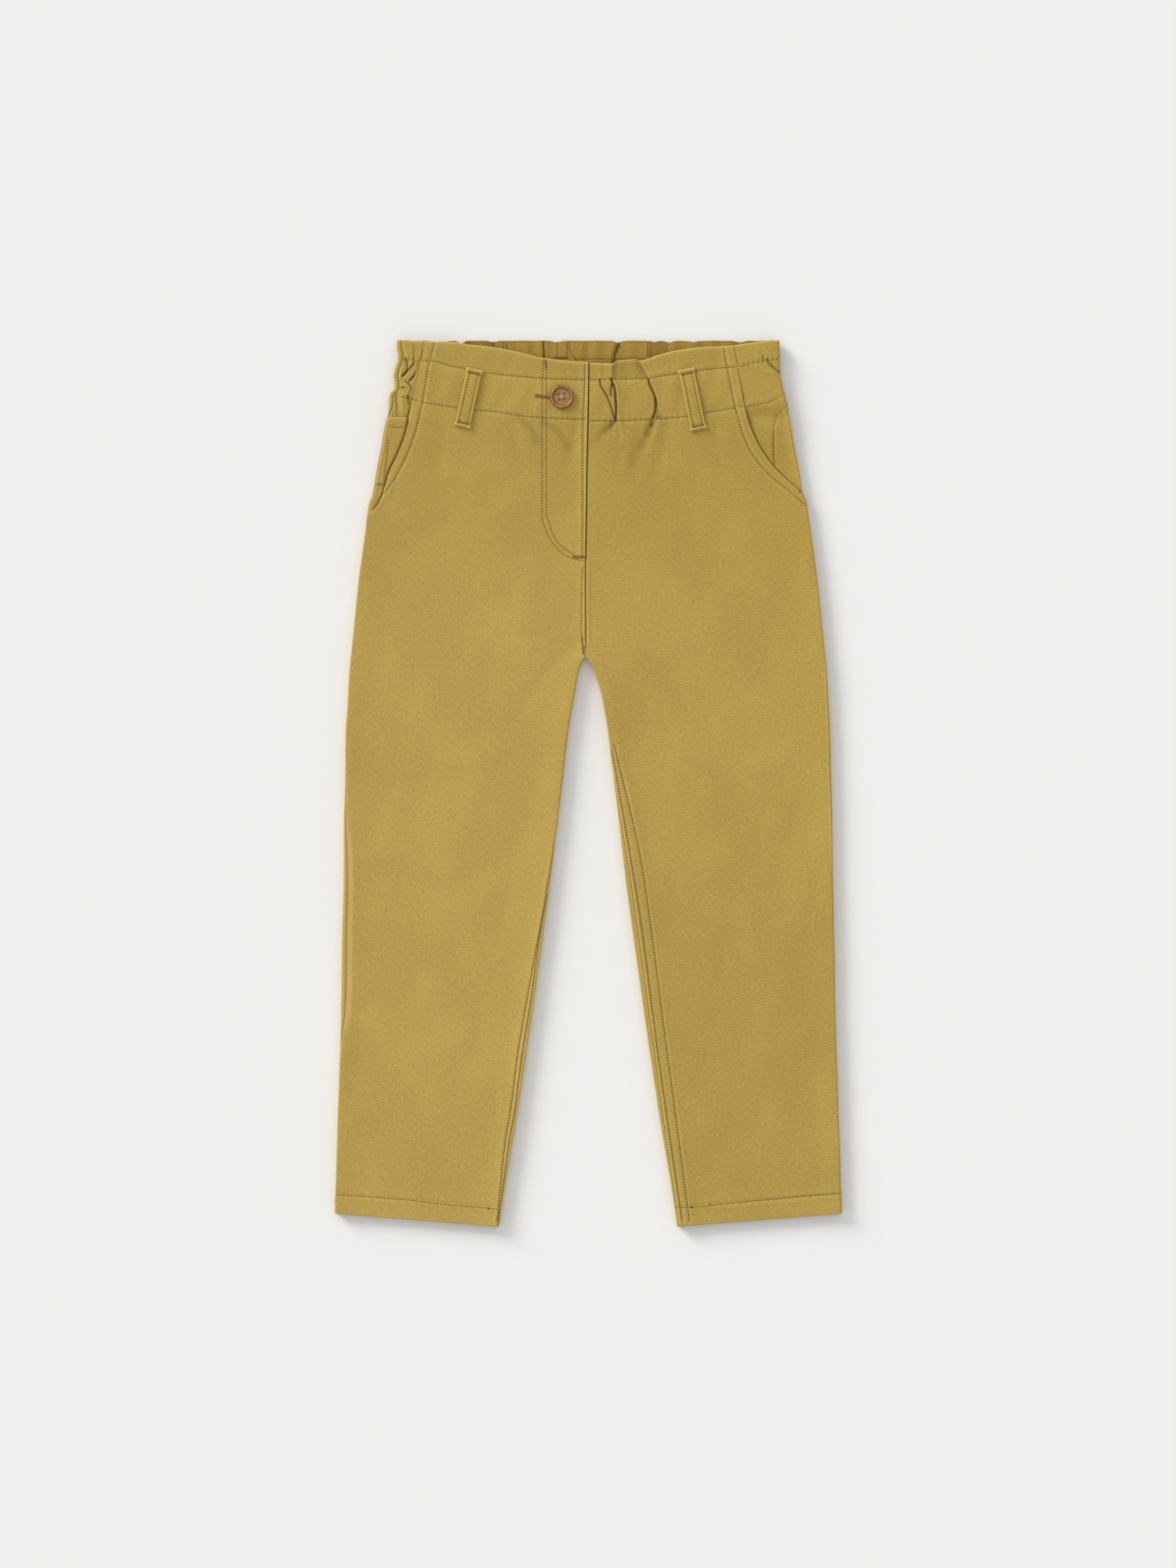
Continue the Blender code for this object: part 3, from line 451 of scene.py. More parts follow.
# Gathers seen on the inside of the back waist, above the dip of the front, with shade painted in
# their grooves.
CREASES_BACK_INSIDE = (
    crease(0.5, 0.8, 0.2, 3, 1.4, (-62.9, 296), (-62.9, 280)),
    crease(0.6, 0.85, 0.3, 3.5, 1.6, (-29.7, 296), (-29.5, 276)),
    crease(0.7, 1.3, 0.2, 3.5, 1.6, (20.7, 295), (20, 291), (17.9, 285.9), (17, 280), (16.6, 272)),
    crease(0.3, 0.7, -0.3, 3, 0.6, (53, 296), (53, 278)),
    crease(0.2, 0.7, 0.2, 4, 0.5, (-12.4, 296), (-12, 288), (-6.5, 280)),
    groove(0.3, 2.2, 0.1, (0.5, 296), (-2.5, 280)),
    groove(0.2, 0.7, 0.65, (41.7, 296), (41.7, 280)),
    groove(0.3, 2.4, 0.05, (-45, 296), (-44, 280)),
)


@dataclass(frozen=True)
class Half:
    """One half of the garment: its outline, seams, waist lines and runs."""

    name: str
    sign: int
    mouth: dict[str, Array]
    waist: dict[Level, dict[str, Array]]
    mouth_top: float
    notches: tuple[tuple[float, float, float], ...]

    def outer(self, y: Array) -> Array:
        """The outline's distance from the middle line."""
        return read(OUTLINE, self.name, y)

    def wrap(self, y: Array) -> Array:
        """How far the inner edge is rounded under: 0 above the crotch, 1 on the leg."""
        return ramp(-y, -CURL_START_Y, -CURL_FULL_Y)

    def inner(self, y: Array, face: Face) -> Array:
        """Where the half ends towards the middle: the middle seam, then the inner leg."""
        seam = self.sign * read(MIDDLE, "front" if face is Face.FRONT else "back", y)
        return seam + SEAM_GAP / 2 + read(OUTLINE, "inner", y)

    def half_height(self, y: Array) -> Array:
        """Half of the height between the back's face and the front's at the outer edge."""
        return (read(HEIGHTS, "top", y) + read(HEIGHTS, "edge", y) - read(HEIGHTS, "bottom", y)) / 2

    def edge_run(self, y: Array) -> Array:
        """The length of the edge from its middle to the flat: a low wall, then a quarter circle."""
        return self.half_height(y) + (math.pi / 2 - 1) * read(HEIGHTS, "round", y)

    def edge_section(self, length: Array, y: Array) -> tuple[Array, Array]:
        """The outer edge's section, from the middle of the edge up to the flat.

        Args:
            length: The run from the middle of the edge.
            y: The height on the garment.

        Returns:
            How far in the section has come, and its rise as a share of the half height.
        """
        bend = read(HEIGHTS, "round", y)
        wall = self.half_height(y) - bend
        angle = np.clip((length - wall) / bend, 0, math.pi / 2)
        rise = np.clip(length, 0, wall) + bend * np.sin(angle)
        return bend * (1 - np.cos(angle)), rise / self.half_height(y)

    def inward(self, inset: Array, y: Array) -> Array:
        """The run from the middle of the edge to a place this far inside the outline."""
        bend = read(HEIGHTS, "round", y)
        angle = np.arccos(1 - np.clip(inset / bend, 0, 1))
        wall = (self.half_height(y) - bend) * np.clip(inset / WALL_INSET, 0, 1)
        return wall + bend * angle + np.maximum(inset - bend, 0)

    def full_run(self, y: Array, face: Face) -> Array:
        """The run of the inner edge's middle, or of the middle seam above the crotch."""
        curl = self.wrap(y)
        flat = self.outer(y) - self.inner(y, face) - read(HEIGHTS, "round", y) * (1 + curl)
        return self.edge_run(y) * (1 + curl) + flat

    def run_at(self, out: Array, y: Array) -> Array:
        """The run of a place on the front, from its distance from the middle line."""
        return self.inward(self.outer(y) - out, y)

    def mouth_run(self, y: Array) -> Array:
        """The run of the pocket mouth, and of the side seam below it."""
        out = smooth(self.mouth["y"], self.mouth["out"], y)
        return np.maximum(self.run_at(out, y), self.side_run(y))

    def lap(self, y: Array) -> Array:
        """1 where the mouth is open and the front laps over the side piece, 0 in the waist."""
        return 1 - ramp(y, self.mouth_top + LAP_FROM, self.mouth_top + LAP_TO)

    def drop(self, y: Array) -> Array:
        """1 where the side piece lies lower than the front, 0 in the waist."""
        return 1 - ramp(y, self.mouth_top + LAP_TO, self.mouth_top + LEVEL_FROM)

    def side_run(self, y: Array) -> Array:
        """The run of the side seam."""
        return self.inward(read(SEAMS, "side_" + self.name, y), y)

    def inseam_run(self, y: Array) -> Array:
        """How far round onto the front the back turns at the inner leg."""
        return self.inward(read(SEAMS, "inseam_" + self.name, y), y)

    def loop(self, run: Array, y: Array) -> tuple[Array, Array]:
        """The flattened tube: a flat front and back, joined at the edge by quarter circles and a low wall.

        Args:
            run: The length round the tube from the middle of the outer edge.
            y: The height on the garment.

        Returns:
            The distance from the middle line, and the height over the floor.
        """
        full_front, full_back = self.full_run(y, Face.FRONT), self.full_run(y, Face.BACK)
        curl = self.wrap(y)
        run = np.where((curl > 0.999) & (run < -full_back), full_front + full_back + run, run)
        back = run < 0
        full = np.where(back, full_back, full_front)
        inner = np.where(back, self.inner(y, Face.BACK), self.inner(y, Face.FRONT))
        length = np.abs(run)
        edge, bend = self.edge_run(y), read(HEIGHTS, "round", y)
        inset, rise = self.edge_section(length, y)
        inner_inset, inner_rise = self.edge_section((full - length) / np.maximum(curl, 1e-6), y)
        out = (
            self.outer(y) - inset
            - np.clip(length - edge, 0, self.outer(y) - inner - bend * (1 + curl))
            - curl * (bend - inner_inset)
            - np.where(curl < 1e-4, np.maximum(length - full, 0), 0)
        )
        bottom = read(HEIGHTS, "bottom", y)
        lift = read(HEIGHTS, "edge", y) * np.maximum(
            bell(self.outer(y) - out, EDGE_LIFT_REACH), curl * bell(out - inner, EDGE_LIFT_REACH)
        )
        face = np.where(back, bottom, read(HEIGHTS, "top", y) + lift)
        middle = bottom + self.half_height(y)
        return out, middle + (face - middle) * rise * (1 - curl * (1 - inner_rise))

    def point(self, run: Array, y: Array) -> Array:
        """The tube's surface before any fold, as x, y and z in the last axis."""
        out, height = self.loop(run, y)
        return np.stack([self.sign * out, np.broadcast_to(y, out.shape), height], axis=-1)

    def normal(self, run: Array, y: Array) -> Array:
        """The direction out of the tube, from its slopes round and down."""
        along = self.point(run + PROBE, y) - self.point(run - PROBE, y)
        down = self.point(run, y + PROBE) - self.point(run, y - PROBE)
        return unit(self.sign * np.cross(down, along))

    def waist_y(self, level: Level, out: Array, face: Face) -> Array:
        """The height of a waist line: straight round the back, but for the dips of its top.

        Args:
            level: The line.
            out: The distance from the middle line.
            face: The face it is on.

        Returns:
            The line's y there.
        """
        if face is Face.BACK:
            dips = sum(depth * bell(out - at, width) for at, depth, width in self.notches)
            return BACK_LEVELS[level] - (dips if level is Level.TOP else 0 * out)
        return smooth(self.waist[level]["out"], self.waist[level]["y"], out)

    def hem_y(self, out: Array) -> Array:
        """The height of the hem's edge, a straight line."""
        share = (out - HEM_INNER[0]) / (HEM_OUTER[0] - HEM_INNER[0])
        return HEM_INNER[1] + (HEM_OUTER[1] - HEM_INNER[1]) * share

    def row_y(self, level: Array, out: Array, face: Face) -> Array:
        """The height of a row of points.

        Args:
            level: Where the row lies: 0 to 2 are the waist's lines, 3 the hip and 4 the hem.
            out: The distance from the middle line.
            face: The face it is on.

        Returns:
            The row's y there.
        """
        lines = [self.waist_y(line, out, face) for line in (Level.TOP, Level.UPPER, Level.LOWER)]
        lines += [np.full(np.shape(out), HIP_Y), self.hem_y(out)]
        y = lines[0]
        for step in range(len(lines) - 1):
            y = y + np.clip(level - step, 0, 1) * (lines[step + 1] - lines[step])
        return y


RIGHT = Half(
    "right", -1, MOUTH_RIGHT, WAIST_RIGHT, 254.5,
    ((99.0, 1.8, 4.5), (84.2, 2.2, 2.0), (63.0, 0.8, 3.0), (20.8, 1.0, 3.0), (2.6, 0.8, 2.2)),
)
LEFT = Half(
    "left", 1, MOUTH_LEFT, WAIST_LEFT, 250.5,
    ((19.8, 1.3, 2.6), (44.2, 1.0, 2.0), (54.0, 1.2, 3.0), (69.7, 0.9, 3.0), (100.9, 1.0, 3.5)),
)
HALVES = {"right": RIGHT, "left": LEFT}


class Value:
    """A number in a shader: sums, products and powers of it add Math nodes."""

    def __init__(self, bench: "Bench", socket: bpy.types.NodeSocket) -> None:
        """Wraps a socket of a node on the bench."""
        self.bench = bench
        self.socket = socket

    def maths(self, operation: str, *inputs: "Value | float") -> "Value":
        """The output of one Math node on these inputs."""
        return self.bench.value("ShaderNodeMath", {"operation": operation}, dict(enumerate(inputs)))

    def __add__(self, other: "Value | float") -> "Value":
        """self + other."""
        return self.maths("ADD", self, other)

    def __sub__(self, other: "Value | float") -> "Value":
        """self - other."""
        return self.maths("SUBTRACT", self, other)

    def __rsub__(self, other: "Value | float") -> "Value":
        """other - self."""
        return self.maths("SUBTRACT", other, self)

    def __mul__(self, other: "Value | float") -> "Value":
        """self times other."""
        return self.maths("MULTIPLY", self, other)

    def __pow__(self, other: "Value | float") -> "Value":
        """self to the power of other."""
        return self.maths("POWER", self, other)

    __radd__ = __add__

    def wave(self) -> "Value":
        """A sine between 0 and 1 with a period of 1."""
        return self.maths("SINE", self * (2 * math.pi)) * 0.5 + 0.5

    def clamp(self) -> "Value":
        """self held between 0 and 1."""
        return self.bench.value("ShaderNodeClamp", {}, {0: self})

    def between(self, start: float, end: float) -> "Value":
        """0 up to start, 1 from end, smooth between."""
        inputs = {0: self, 1: start, 2: end, 3: 0.0, 4: 1.0}
        return self.bench.value("ShaderNodeMapRange", {"interpolation_type": "SMOOTHSTEP"}, inputs)


class Bench:
    """A material's node tree, and the one method that adds nodes to it."""

    def __init__(self, name: str) -> None:
        """Makes a material with a Principled shader and an output."""
        self.material = bpy.data.materials.new(name)
        self.material.use_nodes = True
        self.tree = self.material.node_tree
        self.shader = self.tree.nodes["Principled BSDF"]

    def node(self, kind: str, settings: dict, inputs: dict) -> bpy.types.Node:
        """Adds a node.

        Args:
            kind: The node's type.
            settings: Its properties, set first.
            inputs: A value, a Value or a socket for each input, by its number or name.

        Returns:
            The node.
        """
        made = self.tree.nodes.new(kind)
        for key, value in settings.items():
            setattr(made, key, value)
        for key, value in inputs.items():
            self.feed(made.inputs[key], value)
        return made

    def feed(self, socket: bpy.types.NodeSocket, value: object) -> None:
        """Links a socket, or sets it.

        Args:
            socket: The socket that is fed.
            value: A Value or a socket to link to it, or a plain value.
        """
        if isinstance(value, Value):
            value = value.socket
        if isinstance(value, bpy.types.NodeSocket):
            self.tree.links.new(value, socket)
        else:
            socket.default_value = value

    def value(self, kind: str, settings: dict, inputs: dict) -> Value:
        """The first output of a new node, as a Value."""
        return Value(self, self.node(kind, settings, inputs).outputs[0])

    def attribute(self, name: str) -> Value:
        """A number kept at the points of the mesh."""
        node = self.node("ShaderNodeAttribute", {"attribute_name": name}, {})
        return Value(self, node.outputs["Fac"])

    def plane(self, place: bpy.types.NodeSocket) -> tuple[Value, Value]:
        """The first two axes of a place given in metres, in millimetres."""
        split = self.node("ShaderNodeSeparateXYZ", {}, {0: place})
        return Value(self, split.outputs[0]) * 1000.0, Value(self, split.outputs[1]) * 1000.0

    def place(self) -> bpy.types.NodeSocket:
        """The place on the object, in metres."""
        return self.node("ShaderNodeTexCoord", {}, {}).outputs["Object"]

    def noise(
        self, place: bpy.types.NodeSocket, size: float, detail: float, rough: float = 0.5
    ) -> Value:
        """Noise whose grains have this size, in the units of the place."""
        inputs = {"Vector": place, "Scale": 1 / size, "Detail": detail, "Roughness": rough}
        return self.value("ShaderNodeTexNoise", {}, inputs)

    def join(self, x: Value, y: Value) -> bpy.types.NodeSocket:
        """A vector of two numbers and 0."""
        return self.node("ShaderNodeCombineXYZ", {}, {0: x, 1: y}).outputs[0]

    def mix(self, share: "Value | float", first: object, second: object) -> bpy.types.NodeSocket:
        """The first colour at share 0, the second at 1."""
        inputs = {0: share, 6: self.colour(first), 7: self.colour(second)}
        return self.node("ShaderNodeMix", {"data_type": "RGBA"}, inputs).outputs[2]

    @staticmethod
    def colour(value: object) -> object:
        """A colour with its alpha, or a socket as it is."""
        return (*value, 1.0) if isinstance(value, tuple) else value

    def bump(self, height: Value, distance: float, strength: float) -> None:
        """Feeds the shader's normal from a height of 0 to 1 over this distance in metres."""
        inputs = {"Strength": strength, "Distance": distance, "Height": height}
        self.feed(self.shader.inputs["Normal"], self.node("ShaderNodeBump", {}, inputs).outputs[0])

    def constant(self, **sockets: object) -> None:
        """Sets sockets of the shader that are the same all over."""
        for name, value in sockets.items():
            title = name.replace("_", " ").title().replace("Ior", "IOR")
            self.shader.inputs[title].default_value = value

    def paint(self, colour: bpy.types.NodeSocket, roughness: "Value | float") -> None:
        """Feeds the shader's colour and roughness."""
        self.feed(self.shader.inputs["Base Color"], colour)
        self.feed(self.shader.inputs["Roughness"], roughness)


@dataclass(frozen=True)
class TwillFinish:
    """Brushed cotton twill: diagonal ribs over heathered yarn, paler where it is rubbed and where a
    highlight is painted, and darkened where shade is painted.

    Colours are linear. The slant is that of the ribs, the pitch is theirs in millimetres, and
    ribs is how much they show.
    """

    name: str
    deep: tuple[float, float, float]
    middle: tuple[float, float, float]
    pale: tuple[float, float, float]
    # The colour that painted shade darkens the cloth towards.
    painted_shade_colour: tuple[float, float, float] = (0.060, 0.032, 0.005)
    rubbed: tuple[float, float, float] = (0.66, 0.55, 0.27)
    slant: float = math.radians(33)
    pitch: float = 1.47
    ribs: float = 0.42

    def make(self) -> bpy.types.Material:
        """Ribs are a sine across the slant, broken by noise; yarn is noise drawn out both ways."""
        bench = Bench(self.name)
        uv = bench.node("ShaderNodeUVMap", {"uv_map": "cloth"}, {}).outputs[0]
        u, v = bench.plane(uv)
        along = u * math.cos(self.slant) + v * math.sin(self.slant)
        across = v * math.cos(self.slant) - u * math.sin(self.slant)
        waver = bench.noise(bench.join(u, v), 16.0, 2.0)
        rib = (across * (1 / self.pitch) + waver * 0.5).wave()
        dash = bench.noise(bench.join(along * 0.45, across * (1.5 / self.pitch)), 1.0, 1.0)
        yarn = bench.noise(bench.join(u * 2.4, v * 0.7), 1.0, 2.0, 0.6)
        weft = bench.noise(bench.join(u * 0.6, v * 2.4), 1.0, 2.0, 0.6)
        patch = bench.noise(bench.join(u, v * 0.7), 48.0, 2.0, 0.5)
        cloud = bench.noise(bench.join(along * 0.16, across * 0.4), 1.0, 3.0, 0.6)
        weave = (rib * self.ribs + dash.between(0.3, 0.7) * 0.22 + yarn * 0.30 + weft * 0.30).clamp()
        tone = patch.between(0.32, 0.68) * 0.85 + cloud.between(0.25, 0.75) * 0.15
        colour = bench.mix(tone, self.deep, self.middle)
        colour = bench.mix((weave - 0.28) * 0.80, colour, self.pale)
        grooves = (1 - rib) * dash.between(0.68, 0.32) * 0.34
        colour = bench.mix(grooves, colour, tuple(0.45 * part for part in self.middle))
        rich = tuple(part * share for part, share in zip(self.middle, (0.6, 0.5, 0.0)))
        colour = bench.mix(v.between(90.0, 210.0) * 0.15, colour, rich)
        # Paler where the cloth is rubbed and on painted highlights of fold lips and gather crests.
        worn_and_highlit = bench.attribute("wear") * (0.55 + cloud * 0.6)
        colour = bench.mix(worn_and_highlit.clamp() * 0.40, colour, tuple(1.22 * part for part in self.pale))
        colour = bench.mix((worn_and_highlit - 1.0).clamp() * 0.5, colour, self.rubbed)
        # Painted shade from its attribute: in folds, beside seams, along rows of stitches and in recesses.
        colour = bench.mix(bench.attribute("dark").clamp(), colour, self.painted_shade_colour)
        bench.paint(colour, 0.94 - weave * 0.14)
        bench.bump(rib * 0.45 + dash * 0.15 + yarn * 0.2 + weft * 0.2, 0.00013, 0.5)
        bench.constant(sheen_weight=0.10, sheen_roughness=0.45, sheen_tint=(0.95, 0.86, 0.6, 1.0))
        bench.constant(specular_ior_level=0.22)
        return bench.material


@dataclass(frozen=True)
class ThreadFinish:
    """Spun thread: a fine twist across each stitch, and uneven dye."""

    name: str
    deep: tuple[float, float, float]
    pale: tuple[float, float, float]

    def make(self) -> bpy.types.Material:
        """The twist is a sine over the place; the dye is noise in two sizes."""
        bench = Bench(self.name)
        x, y = bench.plane(bench.place())
        twist = ((x + y) * 2.6 + bench.noise(bench.join(x, y), 0.6, 2.0) * 0.8).wave()
        dye = bench.noise(bench.join(x, y), 3.0, 3.0)
        colour = bench.mix((twist * 0.45 + dye * 0.6).clamp(), self.deep, self.pale)
        bench.paint(colour, 0.8 - twist * 0.15)
        bench.bump(twist, 0.00008, 0.6)
        bench.constant(sheen_weight=0.1, specular_ior_level=0.3)
        return bench.material


@dataclass(frozen=True)
class HornFinish:
    """Polished brown horn: streaks through it, turned rings on it, a ring of painted shade on the wall of
    its dish, and darker towards the outer edge.
    """

    name: str
    centre: tuple[float, float]
    deep: tuple[float, float, float] = (0.075, 0.033, 0.010)
    middle: tuple[float, float, float] = (0.270, 0.124, 0.026)
    pale: tuple[float, float, float] = (0.470, 0.232, 0.062)

    def make(self) -> bpy.types.Material:
        """Colour goes by the distance from the button's middle, and by streaks along x."""
        bench = Bench(self.name)
        x, y = bench.plane(bench.place())
        x, y = x - self.centre[0], y - self.centre[1]
        radius = (x * x + y * y) ** 0.5
        streak = bench.noise(bench.join(x * 0.25, y * 1.1), 1.3, 4.0, 0.6)
        cloud = bench.noise(bench.join(x, y), 4.0, 3.0)
        # Painted shade in a ring on the dish's inner wall; darker towards the outer edge.
        rim = radius.between(4.9, 5.7) * (1 - radius.between(6.0, 6.5))
        edge = radius.between(7.0, 7.6)
        colour = bench.mix(streak.between(0.32, 0.7), self.middle, self.pale)
        colour = bench.mix(cloud.between(0.45, 0.75) * 0.4, colour, self.deep)
        colour = bench.mix((rim * 0.55 + edge * 0.75).clamp(), colour, self.deep)
        bench.paint(colour, 0.30 + streak * 0.14)
        bench.bump((radius * 2.2).wave() * 0.3 + streak * 0.7, 0.00005, 0.35)
        bench.constant(specular_ior_level=0.5, coat_weight=0.15, coat_roughness=0.25)
        return bench.material


@dataclass(frozen=True)
class FloorFinish:
    """Pale matt paper, nearly even in tone."""

    name: str = "pale_floor"
    colour: tuple[float, float, float] = (0.832, 0.824, 0.808)

    def make(self) -> bpy.types.Material:
        """A faint unevenness of tone over the place."""
        bench = Bench(self.name)
        tone = bench.noise(bench.place(), 0.6, 2.0)
        darker = tuple(0.994 * part for part in self.colour)
        bench.paint(bench.mix(tone, darker, self.colour), 0.95)
        bench.constant(specular_ior_level=0.1)
        return bench.material


Finish = TwillFinish | ThreadFinish | HornFinish | FloorFinish


@dataclass
class Wardrobe:
    """Every finish, made once."""

    made: dict[str, bpy.types.Material] = field(default_factory=dict)

    def get(self, finish: Finish) -> bpy.types.Material:
        """The material of a finish."""
        if finish.name not in self.made:
            self.made[finish.name] = finish.make()
        return self.made[finish.name]


BUTTON_PLACE = (-17.4, 256.6)
TWILL = TwillFinish("twill", (0.386, 0.262, 0.048), (0.437, 0.300, 0.061), (0.597, 0.437, 0.128))
# The weave shows as finer, flatter lines on the wearer's left half.
TWILL_LEFT = replace(TWILL, name="twill_left", slant=math.radians(-7), pitch=1.40, ribs=0.20)
# The inner face: the wrong side of the cloth, duller and darker, and darker still as painted shade where it
# shows in the dip of the front's waist.
TWILL_INSIDE = TwillFinish(
    "twill_inside", (0.330, 0.206, 0.034), (0.380, 0.240, 0.042), (0.510, 0.340, 0.080),
    slant=-TWILL.slant,
)
THREAD = ThreadFinish("thread", (0.075, 0.042, 0.008), (0.170, 0.105, 0.025))
BARTACK_THREAD = ThreadFinish("bartack_thread", (0.190, 0.080, 0.022), (0.360, 0.175, 0.055))
BUTTON_THREAD = ThreadFinish("button_thread", (0.360, 0.250, 0.130), (0.620, 0.480, 0.290))
HORN = HornFinish("horn_button", BUTTON_PLACE)
FLOOR = FloorFinish()
WARDROBE = Wardrobe()


class Slot(Enum):
    """Names of material slots, kept with each stitching but not used here."""

    TWILL = "twill"
    THREAD = "thread"
    BARTACK = "bartack_thread"
    HORN = "horn_button"


def mesh_piece(
    name: str, points: Array, faces: list[Array], finishes: list[Finish]
) -> bpy.types.Object:
    """A piece that rides on the garment.

    Args:
        name: The piece's name.
        points: Its points in millimetres, one a row.
        faces: Arrays of corner numbers, one array for each kind of face.
        finishes: Its finishes, in the order of its material slots.

    Returns:
        The object, smooth shaded.
    """
    mesh = bpy.data.meshes.new(name)
    corners = [corner for part in faces for corner in part.tolist()]
    mesh.from_pydata((points * MM).tolist(), [], corners)
    for finish in finishes:
        mesh.materials.append(WARDROBE.get(finish))
    mesh.shade_smooth()
    piece = bpy.data.objects.new(name, mesh)
    bpy.context.scene.collection.objects.link(piece)
    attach(piece, BODY)
    return piece


def turn_outwards(mesh: bpy.types.Mesh) -> None:
    """Recalculates the normals of a closed mesh."""
    work = bmesh.new()
    work.from_mesh(mesh)
    bmesh.ops.recalc_face_normals(work, faces=work.faces)
    work.to_mesh(mesh)
    work.free()


def quads(numbers: Array) -> Array:
    """The four-sided faces of a grid of point numbers."""
    return np.stack(
        [numbers[:-1, :-1], numbers[:-1, 1:], numbers[1:, 1:], numbers[1:, :-1]], axis=-1
    ).reshape(-1, 4)


def capped(rings: Array, poles: Array, first: int = 0) -> tuple[Array, list[Array]]:
    """A surface through rings of points, closed on a point at each end.

    Args:
        rings: The points, as ring, place round it, and x, y and z.
        poles: The two end points.
        first: The number of its first point.

    Returns:
        The points, one a row, and the faces: the rings' quads, then the triangles of each end.
    """
    count, sides = rings.shape[:2]
    numbers = first + np.arange(count * sides).reshape(count, sides)
    numbers = np.concatenate([numbers, numbers[:, :1]], axis=1)
    ends = ((numbers[0, 1:], numbers[0, :-1]), (numbers[-1, :-1], numbers[-1, 1:]))
    caps = [
        np.stack([*pair, np.full(sides, first + count * sides + pole)], axis=-1)
        for pole, pair in enumerate(ends)
    ]
    return np.concatenate([rings.reshape(-1, 3), poles]), [quads(numbers), *caps]


def lay_flat(mesh: bpy.types.Mesh, flat: Array, marks: dict[str, Array]) -> None:
    """Gives a mesh its place in the flat cloth and its marks, and turns its faces outwards.

    Args:
        mesh: The mesh.
        flat: The place of each point in the cloth laid out flat, in metres.
        marks: Values from 0 to 1 for each point, by the attribute's name.
    """
    corners = np.empty(len(mesh.loops), np.int32)
    mesh.loops.foreach_get("vertex_index", corners)
    mesh.uv_layers.new(name="cloth").data.foreach_set("uv", flat[corners].ravel())
    for name, values in marks.items():
        data = mesh.attributes.new(name, "FLOAT", "POINT").data
        data.foreach_set("value", np.clip(values, 0, 1))
    turn_outwards(mesh)


def circle(sides: int) -> tuple[Array, Array]:
    """The cosines and sines of points evenly round a circle."""
    turn = 2 * math.pi * np.arange(sides) / sides
    return np.cos(turn), np.sin(turn)


def rim_of(grid: Array) -> Array:
    """The values round the border of a grid, in order, without a repeat."""
    return np.concatenate([grid[0, :-1], grid[:-1, -1], grid[-1, :0:-1], grid[:0:-1, 0]])


@dataclass(frozen=True)
class Spots:
    """Points of a panel, and their distances from the garment's lines."""

    half: Half
    x: Array
    y: Array
    run: Array

    @cached_property
    def out(self) -> Array:
        """From the middle line."""
        return self.half.sign * self.x

    @cached_property
    def hem(self) -> Array:
        """Above the hem's edge."""
        return self.y - self.half.hem_y(self.out)

    @cached_property
    def seam(self) -> Array:
        """In from the side seam."""
        return self.run - self.half.side_run(self.y)

    @cached_property
    def mouth(self) -> Array:
        """In from the pocket mouth, or from the side seam below it."""
        return self.run - self.half.mouth_run(self.y)

    @cached_property
    def top(self) -> Array:
        """Below the front's top edge."""
        return -self.above(Level.TOP)

    def above(self, level: Level) -> Array:
        """Above a waist line of the front."""
        return self.y - self.half.waist_y(level, self.out, Face.FRONT)

    def end(self, face: Face) -> Array:
        """Short of a face's inner end: the fly, the middle seam or the inseam."""
        reach = self.half.inseam_run(self.y) + self.run
        return self.half.full_run(self.y, face) - face.value * reach


